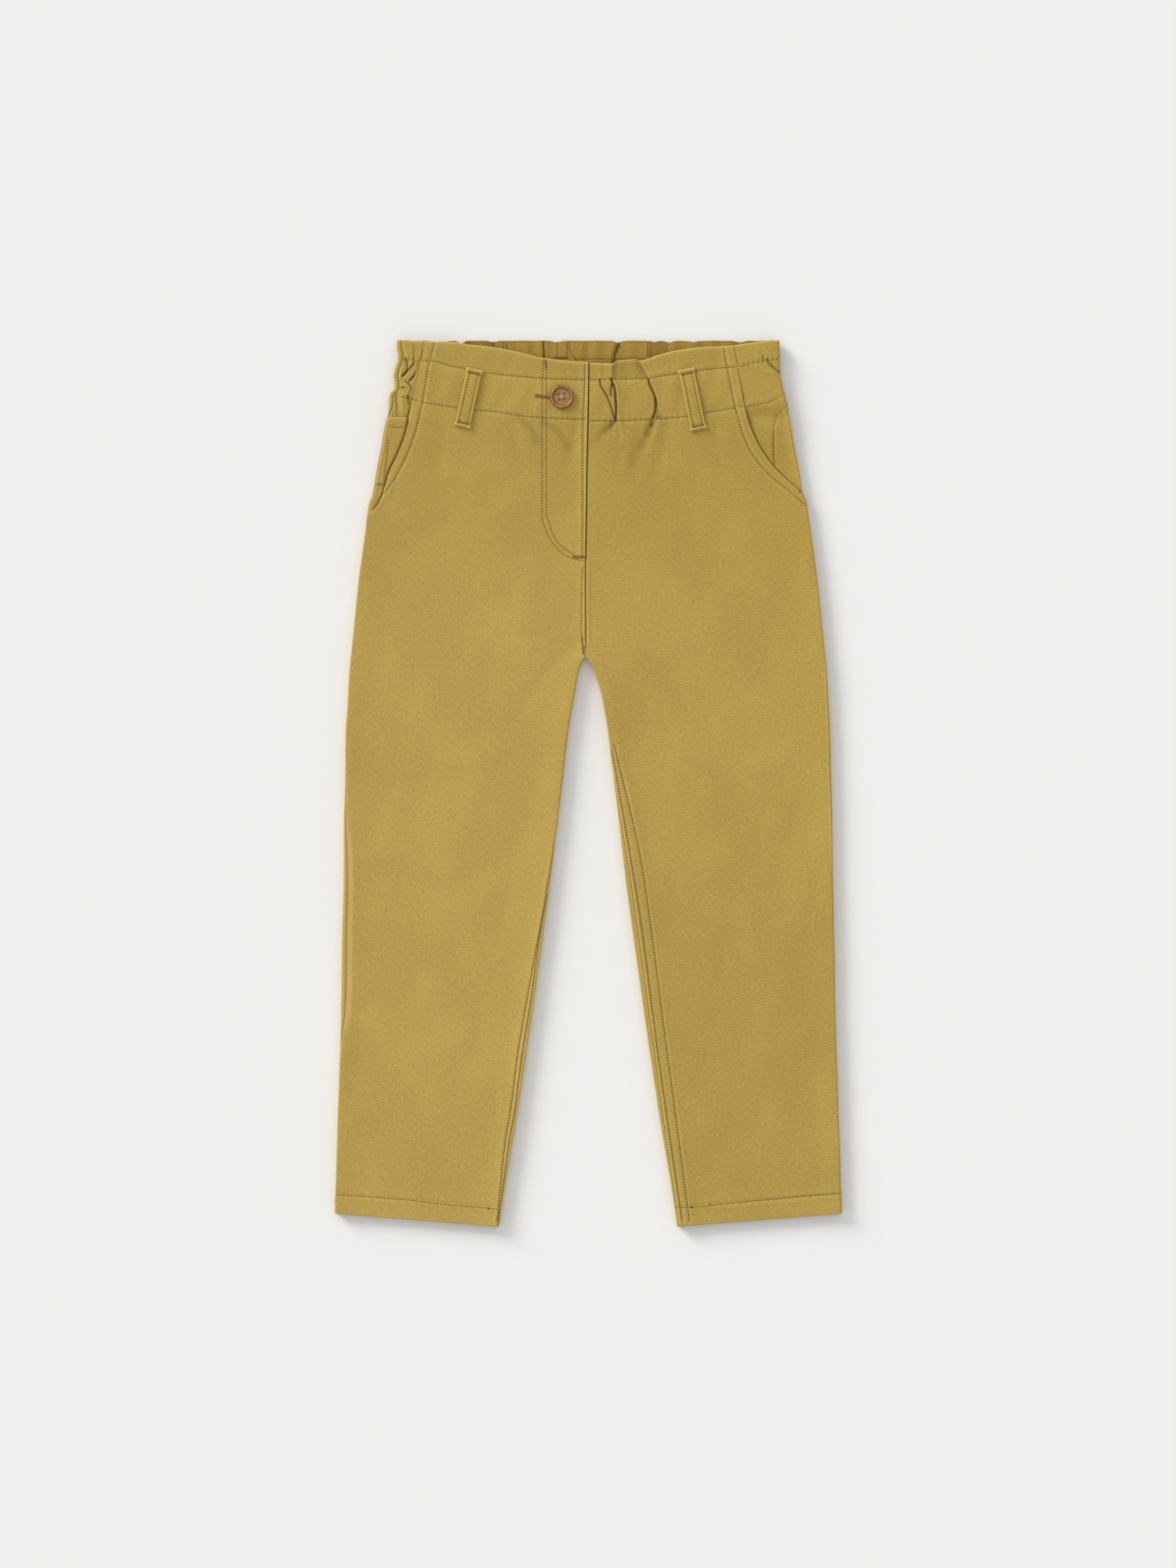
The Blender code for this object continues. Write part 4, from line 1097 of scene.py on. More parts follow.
@dataclass
class ClothPanel:
    """A panel of cloth: a closed thin shell over the flattened tube, between two runs.

    Its rows are levels down the garment, its columns are shared out between knots, which
    are runs that change down the leg, and its relief stands up along the tube's normal.
    """

    name: str
    half: Half
    counts: tuple[int, ...]
    levels: Array
    face: Face = Face.FRONT
    bulge: float = 0.22
    ease: float = 1.0

    def knots(self, y: Array) -> Array:
        """The run of each knot at the heights y, in the first axis."""
        raise NotImplementedError

    def runs(self, y: Array) -> Array:
        """The run of every column at the heights y, a straight share between two knots.

        Args:
            y: The height of every point, a row of points to a row.

        Returns:
            Their runs.
        """
        ends = self.knots(y)
        shares = [part + np.arange(count) / count for part, count in enumerate(self.counts)]
        places = np.concatenate([*shares, [len(self.counts)]])
        part = np.minimum(places.astype(int), len(self.counts) - 1)
        share = places - part
        picked = np.arange(len(places))
        return ends[part, :, picked].T * (1 - share) + ends[part + 1, :, picked].T * share

    def grid(self) -> tuple[Array, Array]:
        """Places the points: run and height are found by turns, because each needs the other.

        Returns:
            The run and the height of every point.
        """
        level = np.asarray(self.levels)[:, None] * np.ones(sum(self.counts) + 1)
        y = self.half.row_y(level, np.full(level.shape, FIRST_OUT), self.face)
        for _ in range(ROUNDS):
            out, _ = self.half.loop(self.runs(y), y)
            y = self.half.row_y(level, out, self.face)
        return self.runs(y), y

    def plain(self, at: Spots) -> Array:
        """Nothing at any point: no relief, wear, highlight or painted shade.

        Args:
            at: The points of the panel.

        Returns:
            A value for each, as from every method that takes this one's place.
        """
        return np.zeros_like(at.x)

    # How far the cloth stands over the tube, and its inner face into the garment; how rubbed it
    # is, with painted highlights; and the shade painted on both faces in the bottoms of their folds.
    # A panel says what it has.
    relief = inside_relief = wear = dark = inside_painted_shade = plain

    def wall(self, y: Array) -> Array:
        """The thickness of the cloth."""
        return read(HEIGHTS, "wall", y)

    def sink(self, run: Array, y: Array) -> Array:
        """How far the panel lies under the tube's surface."""
        return np.zeros_like(run)

    def shell(self, run: Array, y: Array) -> tuple[Array, Array]:
        """Both faces of the cloth.

        Args:
            run: The length round the tube.
            y: The height on the garment.

        Returns:
            The outer face with its relief, and the inner face: half of the relief, less the wall.
        """
        base = self.half.point(run, y)
        normal = self.half.normal(run, y)
        spots = Spots(self.half, base[..., 0], base[..., 1], run)
        height = self.relief(spots)
        sink = self.sink(run, y)
        depth = 0.5 * height - sink - self.wall(y) - self.inside_relief(spots)
        return base + normal * (height - sink)[..., None], base + normal * depth[..., None]

    def at(self, place: Array, inside: bool = False) -> tuple[Array, Array]:
        """The point and the outward direction at places given as x and y.

        Args:
            place: The places, as x and y in the last axis.
            inside: Whether the inner face is meant.

        Returns:
            The points and directions, as x, y and z in the last axis.
        """
        y = place[..., 1]
        run = self.face.value * self.half.run_at(self.half.sign * place[..., 0], y)
        step = 0.3
        runs = np.stack([run, run + step, run - step, run, run])
        heights = np.stack([y, y, y, y + step, y - step])
        points = self.shell(runs, heights)[int(inside)]
        normal = unit(self.half.sign * np.cross(points[3] - points[4], points[1] - points[2]))
        return points[0], -normal if inside else normal

    def cut(self, run: Array, y: Array) -> tuple[float, float, float]:
        """The panel laid out flat, with the cloth's ease.

        Args:
            run: The run of every point.
            y: Its height.

        Returns:
            The width and length in metres, and the area.
        """
        width = np.abs(run[:, -1] - run[:, 0]) * self.ease
        middle = y.mean(axis=1)
        length = middle.max() - middle.min()
        area = float(np.sum((width[1:] + width[:-1]) / 2 * np.abs(np.diff(middle))))
        return float(width.max()) * MM, float(length) * MM, area * MM * MM

    def build(self) -> bpy.types.Object:
        """Makes the shell: both faces, and a rounded rim between them."""
        run, y = self.grid()
        outer, inner = self.shell(run, y)
        rows, wide = run.shape
        count = rows * wide
        numbers = np.arange(count).reshape(rows, wide)
        out = np.zeros_like(outer)
        out[0] += unit(outer[0] - outer[1])
        out[-1] += unit(outer[-1] - outer[-2])
        out[:, 0] += unit(outer[:, 0] - outer[:, 1])
        out[:, -1] += unit(outer[:, -1] - outer[:, -2])
        middle = rim_of((outer + inner) / 2 + unit(out) * self.bulge)
        points = np.concatenate([outer.reshape(-1, 3), inner.reshape(-1, 3), middle])
        border = rim_of(numbers)
        ring = 2 * count + np.arange(len(border))
        rims = [
            np.stack([first, np.roll(first, -1), np.roll(second, -1), second], axis=-1)
            for first, second in ((border, ring), (ring, border + count))
        ]
        faces = [quads(numbers), *rims, quads(numbers + count)[:, ::-1]]
        outside = TWILL_LEFT if self.half is LEFT else TWILL
        piece = mesh_piece(self.name, points, faces, [outside, TWILL_INSIDE])
        mesh = piece.data
        kinds = np.zeros(len(mesh.polygons), np.int32)
        kinds[-len(faces[-1]):] = 1
        mesh.polygons.foreach_set("material_index", kinds)
        spots = Spots(self.half, outer[..., 0], outer[..., 1], run)
        marks = {
            "wear": (self.wear(spots), self.plain(spots)),
            "dark": (self.dark(spots), self.inside_painted_shade(spots)),
        }
        marks = {
            mark: np.concatenate([front.ravel(), back.ravel(), rim_of(front)])
            for mark, (front, back) in marks.items()
        }
        flat = np.stack([-self.half.sign * run * MM, y * MM], axis=-1)
        flat = np.concatenate([flat.reshape(-1, 2), flat.reshape(-1, 2), rim_of(flat)])
        lay_flat(mesh, flat, marks)
        width, length, area = self.cut(run, y)
        size = (width / MM, length / MM)
        LOG.info("%s: %d faces, cut %.0f x %.0f mm", self.name, len(mesh.polygons), *size)
        return piece


def spread(*parts: tuple[float, float, int]) -> Array:
    """Levels shared evenly within each part (start, end, count), ending at the last end."""
    pieces = [np.linspace(start, end, count, endpoint=False) for start, end, count in parts]
    return np.append(np.concatenate(pieces), parts[-1][1])


def waver(x: Array, y: Array, seed: float) -> Array:
    """A slow unevenness of laid cloth: four sines in crossing directions.

    Args:
        x: The places' x.
        y: Their y.
        seed: Shifts the sines.

    Returns:
        A value from -1 to 1 for each place.
    """
    total = np.zeros_like(x)
    for turn, length in ((0.35, 46.0), (1.25, 61.0), (2.2, 33.0), (2.9, 24.0)):
        phase = seed * (turn + 1.7) * 5.0
        along = x * math.cos(turn) + y * math.sin(turn)
        total += np.sin(2 * math.pi * along / length + phase)
    return total / 4


def pucker(place: Array, away: Array, pitch: float, reach: float) -> Array:
    """Small puckers where stitches pull on the cloth: a wave along the row, fading beside it."""
    wave = np.sin(2 * math.pi * place / pitch + 1.3 * np.sin(place / 7.0))
    return wave * bell(away, reach)


def beside(away: Array, gap: float, width: float) -> Array:
    """A bell on each side of a row of stitches, with its middle this far from the row."""
    return bell(away - gap, width) + bell(away + gap, width)


def topstitch(away: Array) -> Array:
    """The section across a row of stitches: a trough with the cloth swelling on both sides."""
    return 0.08 * beside(away, 2.2, 1.3) - 0.16 * bell(away, 1.0)


def pressed(away: Array, depth: float) -> Array:
    """The section of a turned edge, which is thin at the edge itself."""
    return -depth * bell(np.maximum(away, 0), 0.7)


# Rows of stitches on the fronts, as x and y down the garment.
POCKET_ROWS = {
    "right": Line((
        (-101.9, 292.8), (-105.6, 278.2), (-109.7, 254.3), (-112.9, 239.2), (-114.7, 232.8),
        (-119.2, 220.5), (-125.4, 207.8), (-128.6, 202.4), (-134.7, 194), (-145.2, 183.4),
    )),
    "left": Line((
        (89.8, 289.9), (91.8, 277.9), (97.2, 251.2), (99.3, 243.4), (103.2, 230.4), (109.2, 218.4),
        (119.1, 206.4), (132.1, 195.5), (146.1, 183.6),
    )),
}
FLY_EDGE_ROW = Line(((-2.1, 278.7), (-2.8, 253.8), (-3.5, 244.4), (-3.6, 200), (-3.6, 150)))
FLY_OUTER_ROW = Line((
    (-29.6, 281.8), (-30.3, 262), (-30.4, 243.4), (-30.4, 177.3), (-29.8, 174.2), (-26.7, 165.4),
    (-21.6, 157.6), (-15.3, 151.8), (-9.7, 149.5), (-2.8, 148.2),
))
FLY_INNER_ROW = Line((
    (-27.6, 281), (-27.7, 243.4), (-27.6, 177.3), (-26, 174.2), (-24.1, 168), (-20.3, 160.2), (-15.3, 156),
    (-9, 151.8),
))
CROTCH_ROW = Line(((-3.6, 144.6), (-4.3, 125), (-4.4, 105), (-3.4, 86.8)))
INSEAM_ROWS = {
    "right": (
        Line((
            (-26.6, -72.8), (-34.3, -109), (-41.9, -151), (-46.3, -177), (-51.6, -218), (-54.5, -234),
            (-58.9, -276), (-60.2, -290),
        )),
    ),
    "left": (
        Line((
            (15.6, 23.4), (28.7, -52), (35.5, -94), (46, -177), (51.9, -218), (56.6, -250), (62.4, -290),
        )),
        Line(((17, 27), (35.3, -52), (41.5, -94), (52.3, -177), (57.9, -218), (62.3, -252), (67.2, -290))),
    ),
}
HEM_ROWS = {
    "right": Line((
        (-167, -272.5), (-151.8, -273.5), (-123.8, -275.6), (-92, -279.2), (-65.5, -281.3), (-57.6, -282.3),
    )),
    "left": Line((
        (57.6, -281.2), (69.2, -280.8), (96.7, -277.9), (129.5, -274.6), (146.1, -273), (167.4, -271.4),
    )),
}


@dataclass(frozen=True)
class FrontShade:
    """The shade painted on one front: more at the fly and the mouth, at the inner leg, the inseam rows and
    the frill, and darker towards the hem.
    """

    fly: float
    mouth: float
    inner: float
    inseam_row: float
    frill: float
    foot: float
    foot_from: tuple[float, float]


FRONT_SHADES = {
    "right": FrontShade(0.0, -0.15, 0.65, 0.35, 0.06, 0.03, (200.0, 250.0)),
    "left": FrontShade(0.35, 0.40, 0.25, 0.08, 0.02, 0.05, (40.0, 120.0)),
}
HEM_KNOTS = {
    "right": (((-66.5, -281.4), (-65.5, -281.7)),),
    "left": (((68.0, -281.0), (69.4, -280.6)), ((80.6, -278.9), (81.6, -278.6))),
}
BUTTONHOLE_PLACE = (-30.0, 256.2)
BUTTONHOLE_SLOPE = -0.28
BACK_LOOPS = (-56.0, -12.0, 41.0)


@dataclass
class FrontPanel(ClothPanel):
    """A front, cut in one with the frilled and elasticated waist."""

    def knots(self, y: Array) -> Array:
        """From the pocket mouth or side seam to the fly, the middle seam or the inseam."""
        start = self.half.mouth_run(y) + SEAM_GAP / 2
        end = self.half.full_run(y, Face.FRONT) - self.half.inseam_run(y) - SEAM_GAP / 2
        return np.stack([start, start + 1.4, start + 10, end - 62, end - 9, end - 1.4, end])

    @cached_property
    def creases(self) -> tuple[Crease, ...]:
        """The folds of this front."""
        if self.half is LEFT:
            return CREASES_FRONT_LEFT + SOFT_FRONT_LEFT
        return CREASES_FRONT_RIGHT + SOFT_FRONT_RIGHT

    def relief(self, at: Spots) -> Array:
        """The sum of creases, rows of stitches, turned edges and the elastic's fullness."""
        x, y, seed = at.x, at.y, self.half.sign
        upper, lower, turned = at.above(Level.UPPER), at.above(Level.LOWER), at.hem - HEM_FOLD
        height = 0.16 * waver(x, y, seed) * ramp(at.hem, 4.0, 30.0) * ramp(-lower, 4.0, 20.0)
        height += 0.16 * waver(1.7 * x, 1.3 * y, seed + 2.0) * ramp(y, 236.0, GATHERED_Y)
        height += topstitch(upper) + topstitch(lower)
        height += 0.10 * (pucker(x, upper, 3.3, 2.4) + pucker(x + 1, lower, 3.7, 2.6))
        tunnel = ramp(-upper, 0.5, 7.0) * ramp(lower, 0.5, 7.0)
        height += tunnel * (0.35 + 0.14 * np.sin(x / 2.6 + np.sin(y / 9.0) * 1.2))
        height += pressed(at.top, 0.45) + 0.12 * bell(at.top - 2.5, 2.0)
        height += 0.30 * ramp(-turned, -0.6, 0.6) + topstitch(turned)
        height += 0.07 * pucker(x, turned, 4.3, 3.0)
        height += pressed(at.hem, 0.3) + self.mouth_relief(at) + self.seam_relief(at)
        return height + sum(fold.height(x, y) for fold in self.creases)

    def mouth_relief(self, at: Spots) -> Array:
        """The pocket mouth's facing, its turned edge and its row of stitches."""
        open_mouth = ramp(at.y, 182.0, 196.0) * (0.15 + 0.85 * self.half.drop(at.y))
        facing = 0.22 * ramp(at.mouth, 0.0, 0.8) * (1 - ramp(at.mouth, 4.5, 6.5))
        row = POCKET_ROWS[self.half.name].distance(at.x, at.y)
        height = open_mouth * (facing - 0.25 * bell(at.mouth, 0.6))
        return height + topstitch(row) + 0.06 * pucker(at.y, row, 4.1, 2.2)

    def seam_relief(self, at: Spots) -> Array:
        """The fly's lap, its double row, and the ridges of the middle seam and inner leg."""
        end, fly = at.end(Face.FRONT), ramp(at.y, *FLY_FOOT)
        height = 0.22 * (bell(end - 1.6, 1.3) - bell(end, 0.6)) * (1 - fly)
        rows = [(row, 1.0) for row in INSEAM_ROWS[self.half.name]]
        if self.half is LEFT:
            height -= 0.28 * (1 - ramp(end, 1.0, 7.0)) * fly
            height += 0.12 * bell(end - 9.0, 2.5) * self.half.wrap(at.y)
        else:
            height += 0.22 * (1 - ramp(end, 2.5, 7.0)) * fly
            rows += [(FLY_OUTER_ROW, 1.0), (FLY_INNER_ROW, 0.7), (FLY_EDGE_ROW, 1.0), (CROTCH_ROW, 1.0)]
            x, y = at.x - BUTTONHOLE_PLACE[0], at.y - BUTTONHOLE_PLACE[1]
            height -= 0.25 * bell(x / 5.0, 1.0) * bell(y - BUTTONHOLE_SLOPE * x, 1.1)
        return height + sum(share * topstitch(row.distance(at.x, at.y)) for row, share in rows)

    def wear(self, at: Spots) -> Array:
        """Rubbed along every edge and beside the rows of stitches, paler in a band beside the side seam of
        the right leg, and a painted highlight on the lip of each crease.
        """
        x, y, half = at.x, at.y, self.half
        value = 0.8 * bell(at.mouth - 0.5, 0.9) * half.drop(y)
        value += 0.6 * bell(at.end(Face.FRONT) - 0.5, 0.9) + 0.7 * bell(at.top, 0.9)
        value += 0.8 * bell(at.hem, 1.1) + 0.072 * ramp(HEM_FOLD - at.hem, -1.0, 2.0)
        rows = [POCKET_ROWS[half.name], *INSEAM_ROWS[half.name]]
        if half is RIGHT:
            # Paler in a band beside the side seam, down the right leg.
            pale = ramp(y, -170.0, -150.0) * ramp(-y, 20.0, 60.0)
            value += 1.9 * bell(at.mouth - 1.9, 1.5) * pale
            rows += [FLY_EDGE_ROW, CROTCH_ROW]
        uneven = 0.30 * (0.6 + 0.4 * np.sin(x * 1.9))
        for level in (Level.UPPER, Level.LOWER):
            value += uneven * beside(at.above(level), 1.8, 1.0)
        for row in rows:
            value += 0.28 * beside(row.distance(x, y), 1.7, 0.9)
        # Painted highlight on the raised lip of each crease.
        for fold in self.creases:
            if fold.lip:
                away = fold.line.distance(x, y) * math.copysign(1.0, fold.lip)
                value += 0.5 * abs(fold.lip) * bell(away - 1.3 * fold.width, 0.8)
        return value

    def dark(self, at: Spots) -> Array:
        """Painted shade in the bottoms of folds, along the rows of stitches, beside the seams, on the frill
        and in the header's recess.
        """
        x, y, half = at.x, at.y, self.half
        shade, upper, leg = FRONT_SHADES[half.name], at.above(Level.UPPER), half.wrap(y)
        value = sum(fold.shade(x, y) for fold in self.creases)
        value += 0.05 * (bell(upper, 0.9) + bell(at.above(Level.LOWER), 0.9))
        # Painted shade on the frill; on the left front a little more on the header left of the box's edge,
        # and a painted shadow in the header's recess between the box and the flap.
        frill = shade.frill + 0 * x
        if half is LEFT:
            frill += 0.05 * (1 - ramp(x, 15.0, 17.0))
            frill += 0.15 * ramp(x, 16.0, 19.0) * (1 - ramp(x, 33.0, 38.0))
        value += frill * ramp(upper, 0.0, 2.0) + shade.foot * ramp(-y, *shade.foot_from)
        for row in INSEAM_ROWS[half.name]:
            value += shade.inseam_row * bell(row.distance(x, y), 0.5)
        # Painted shade along the fly, the middle seam and the inner leg; a painted shadow along the pocket
        # mouth.
        seam = (0.6 + shade.fly * ramp(y, *FLY_FOOT)) * (1 - leg) + shade.inner * leg
        edge = (0.25 + shade.mouth * ramp(y, 186.0, 196.0)) * (0.7 + 0.3 * half.drop(y))
        return value + seam * bell(at.end(Face.FRONT), 0.42) + edge * bell(at.mouth, 0.45)


@dataclass
class BackPanel(ClothPanel):
    """A back: gathered by elastic along its waist, and pressed flat under its belt loops."""

    face: Face = Face.BACK
    ease: float = 1.06
    pitch: float = 12.4
    depth: float = 0.65

    def knots(self, y: Array) -> Array:
        """From the side seam round the outer edge, and round the inner edge on the leg."""
        side, edge = self.half.side_run(y) - SEAM_GAP / 2, -self.half.edge_run(y)
        full = -self.half.full_run(y, Face.BACK)
        past = SEAM_GAP / 2 * self.half.wrap(y) - 0.13 * ramp(y, 97.0, 105.0)
        end = full + past - self.half.inseam_run(y)
        return np.stack([side, edge, edge - 8, full + 12, full + 3, full, end])

    def gathers(self, at: Spots) -> Array:
        """A cosine across the waist, uneven in width, flat at the sides and at the belt loops."""
        x, y, edge = at.x, at.y, self.half.edge_run(at.y)
        wave = np.cos(2 * math.pi * x / self.pitch + 0.9 * np.sin(x / 17.0))
        deep = 0.55 + 0.45 * ramp(np.abs(y - UPPER_ROW_Y), 0.5, 7.0)
        clear = ramp(y, PRESSED_Y, GATHERED_Y) * ramp(-at.run, edge + 1.0, edge + 9.0)
        for loop_x in BACK_LOOPS:
            clear *= ramp(np.abs(x - loop_x), 5.6, 9.1)
        fine = 0.10 * np.sin(x / 0.9 + np.sin(y / 6.0) * 2.0) * ramp(y, 246.0, 258.0)
        return (self.depth * wave + fine) * deep * clear

    def relief(self, at: Spots) -> Array:
        """The gathers, drag lines, rows of stitches, hem and middle seam."""
        x, y, half = at.x, at.y, self.half
        full, upper, lower = half.full_run(y, Face.BACK), y - UPPER_ROW_Y, y - LOWER_ROW_Y
        lying = ramp(-at.run, 0.0, half.edge_run(y).max() + 4.0)
        height = self.gathers(at) - 0.10 * lying * (1 - ramp(y, 200.0, 230.0))
        legs = ramp(at.hem, 4.0, 30.0) * ramp(-y, -PRESSED_Y, -190.0)
        height += 0.08 * (waver(x, y, 3.0 + half.sign) - 1.0) * legs
        soft = np.abs(sum(fold.height(at.out, y) for fold in SOFT_BACK))
        height -= 0.35 * soft * (1 - ramp(np.abs(at.run), full - 4, full))
        height += topstitch(upper) + topstitch(lower)
        height += 0.08 * (pucker(x, upper, 3.3, 2.4) + pucker(x, lower, 3.6, 2.4))
        height += pressed(TOP_Y - y, 0.45) + topstitch(at.hem - HEM_FOLD) + pressed(at.hem, 0.3)
        end = full + at.run
        height += (1 - half.wrap(y)) * (0.8 * topstitch(end - 1.9) - 0.2 * bell(end, 0.6))
        return np.minimum(height, np.where(y < 200.0, 0.0, 1.2))

    def inside_relief(self, at: Spots) -> Array:
        """The gathers of the waist's inner face, and its row of stitches."""
        height = sum(fold.height(at.x, at.y) for fold in CREASES_BACK_INSIDE)
        height += 0.8 * topstitch(at.y - INSIDE_ROW_Y)
        return 0.75 * height * ramp(at.y, 262.0, 272.0)

    def inside_painted_shade(self, at: Spots) -> Array:
        """Painted shade in those gathers, under the row of stitches, on a patch at the left, at the side
        and a little all over.
        """
        value = sum(fold.shade(at.x, at.y) for fold in CREASES_BACK_INSIDE)
        value += 0.05 * bell(at.y - INSIDE_ROW_Y, 0.9)
        patch = ramp(at.x, 41.5, 44.0) * (1 - ramp(at.x, 52.0, 53.0))
        side = ramp(-at.x, 60.0, 66.0)
        return value * ramp(at.y, 262.0, 270.0) + 0.04 + 0.28 * patch + 0.16 * side

    def wear(self, at: Spots) -> Array:
        """Rubbed along the hem, the seams and the top."""
        value = 0.8 * bell(at.hem, 1.1) + 0.15 * ramp(HEM_FOLD - at.hem, -1.0, 2.0)
        value += 0.7 * bell(-at.seam - 0.5, 0.9) * self.half.drop(at.y)
        return value + 0.6 * bell(at.end(Face.BACK) - 0.6, 0.9) + 0.8 * bell(TOP_Y - at.y, 0.9)

    def dark(self, at: Spots) -> Array:
        """Painted shade beside the seams and along the rows of stitches."""
        side = (0.12 + 0.28 * ramp(at.y, 186.0, 196.0)) * (0.2 + 0.8 * self.half.drop(at.y))
        value = 0.05 * (bell(at.y - UPPER_ROW_Y, 0.9) + bell(at.y - LOWER_ROW_Y, 0.9))
        inner = 0.15 if self.half is LEFT else 0.35
        return value + inner * bell(at.end(Face.BACK), 0.45) + side * bell(at.seam, 0.4)


@dataclass
class SidePanel(ClothPanel):
    """A hip piece that shows inside the pocket mouth, and goes on under the front."""

    def knots(self, y: Array) -> Array:
        """From the side seam to a lap under the front, which in the waist it only meets."""
        lap, share = self.half.lap(y), np.array([0, 0.2, 0.8, 1])[:, None, None]
        end = self.half.mouth_run(y) + MOUTH_LAP * lap - SEAM_GAP / 2 * (1 - lap)
        return (self.half.side_run(y) + SEAM_GAP / 2) * (1 - share) + end * share

    @cached_property
    def creases(self) -> tuple[Crease, ...]:
        """The gathers of this side."""
        return CREASES_SIDE_LEFT if self.half is LEFT else CREASES_SIDE_RIGHT

    def sink(self, run: Array, y: Array) -> Array:
        """It drops below the front where the pocket mouth crosses it."""
        start, mouth = self.half.side_run(y), self.half.mouth_run(y)
        depth = (read(HEIGHTS, "wall", y) + SEAM_GAP + 0.15) * self.half.drop(y)
        shown = mouth - start
        slope = ramp((run - start) / np.clip(shown, 0.5, 9.0), 0.0, 0.9)
        if self.half is RIGHT:
            slope = ramp(run - mouth, -1.4, -0.2)
        return depth * np.maximum(slope, 1 - ramp(shown, 0.5, 2.5))

    def clear(self, at: Spots) -> Array:
        """1 where the piece shows, 0 where it passes under the front or meets the side seam."""
        return (1 - ramp(at.mouth, -2.2, -0.3)) * ramp(at.seam, 0.3, 2.0)

    def relief(self, at: Spots) -> Array:
        """Its gathers, the rows under the frill and the elastic, and the side seam."""
        upper = at.above(Level.UPPER)
        height = topstitch(upper) + topstitch(at.above(Level.LOWER))
        height += 0.18 * pucker(at.x, upper, 3.0, 3.0) - 0.4 * bell(at.top, 0.7)
        folds = sum(fold.height(at.x, at.y) for fold in self.creases)
        height += folds * (ramp(at.y, 244.0, 248.0) if self.half is RIGHT else 1.0)
        seam = 0.2 * (bell(at.seam - 1.6, 1.1) - bell(at.seam, 0.6)) * self.half.drop(at.y)
        return self.clear(at) * height + seam

    def wear(self, at: Spots) -> Array:
        """Rubbed along the top and the side seam, and a painted highlight on the crests of the gathers."""
        seam = bell(at.seam - 1.4, 0.8) * self.half.drop(at.y)
        # Painted highlight on the crests, as strong as the relief is high.
        return 0.8 * bell(at.top, 0.9) + 0.5 * seam + 0.3 * np.maximum(self.relief(at), 0)

    def dark(self, at: Spots) -> Array:
        """Painted shade in the gathers and beside the side seam, and a painted shadow of the mouth."""
        drop = self.half.drop(at.y)
        value = sum(fold.shade(at.x, at.y) for fold in self.creases) * self.clear(at)
        deep = 0.05 if self.half is RIGHT else 0.55
        shade = deep * ramp(1.6 + at.mouth, 0.0, 1.6) * ramp(at.y, 187.0, 205.0) * drop
        return value + shade + 0.4 * bell(at.seam, 0.4) * (0.2 + 0.8 * drop)


@dataclass
class CoinPocket(SidePanel):
    """A patch on the right side piece, hemmed along its top."""

    patch_wall: float = 0.7
    lift: float = 0.95
    inset: float = 0.7
    hem: float = 6.8
    top_y: float = 243.0

    def knots(self, y: Array) -> Array:
        """From beside the side seam to just short of the pocket mouth."""
        start, end = self.half.side_run(y) + self.inset, self.half.mouth_run(y) - 0.35
        share = np.array([0, 0.3, 0.7, 1])[:, None, None]
        return start * (1 - share) + end * share

    def wall(self, y: Array) -> Array:
        """One thin layer."""
        return np.full(np.shape(y), self.patch_wall)

    def sink(self, run: Array, y: Array) -> Array:
        """It lies on the side piece."""
        return super().sink(run, y) - self.lift

    def relief(self, at: Spots) -> Array:
        """A turned top edge, its row of stitches, and rubbed edges pressed down."""
        start, top = at.seam - self.inset, self.top_y - at.y
        height = topstitch(top - self.hem) + 0.15 * ramp(self.hem - top, 0.0, 1.0)
        return height + 0.7 * topstitch(start - 1.8) - 0.2 * (bell(top, 0.6) + bell(start, 0.6))

    def wear(self, at: Spots) -> Array:
        """Rubbed along its top and its side."""
        return 0.8 * bell(self.top_y - at.y, 0.9) + 0.6 * bell(at.seam - 1.2, 0.8)

    def dark(self, at: Spots) -> Array:
        """A painted shadow of the mouth, and painted shade along the two rows down its side."""
        start = at.seam - self.inset
        rows = 0.26 * bell(start - 1.9, 0.5) + 0.18 * bell(start - 4.0, 0.5)
        return rows + 0.55 * ramp(1.4 + at.mouth, 0.0, 1.4)


def level_of(half: Half, y: float, out: float) -> float:
    """The level of a height between the lower waist row and the hip."""
    lower = float(half.waist_y(Level.LOWER, np.array(out), Face.FRONT))
    return 2 + (lower - y) / (lower - HIP_Y)


# The width and height of a bar tack's stitches.
BAR_SECTION = (0.55, 0.7)


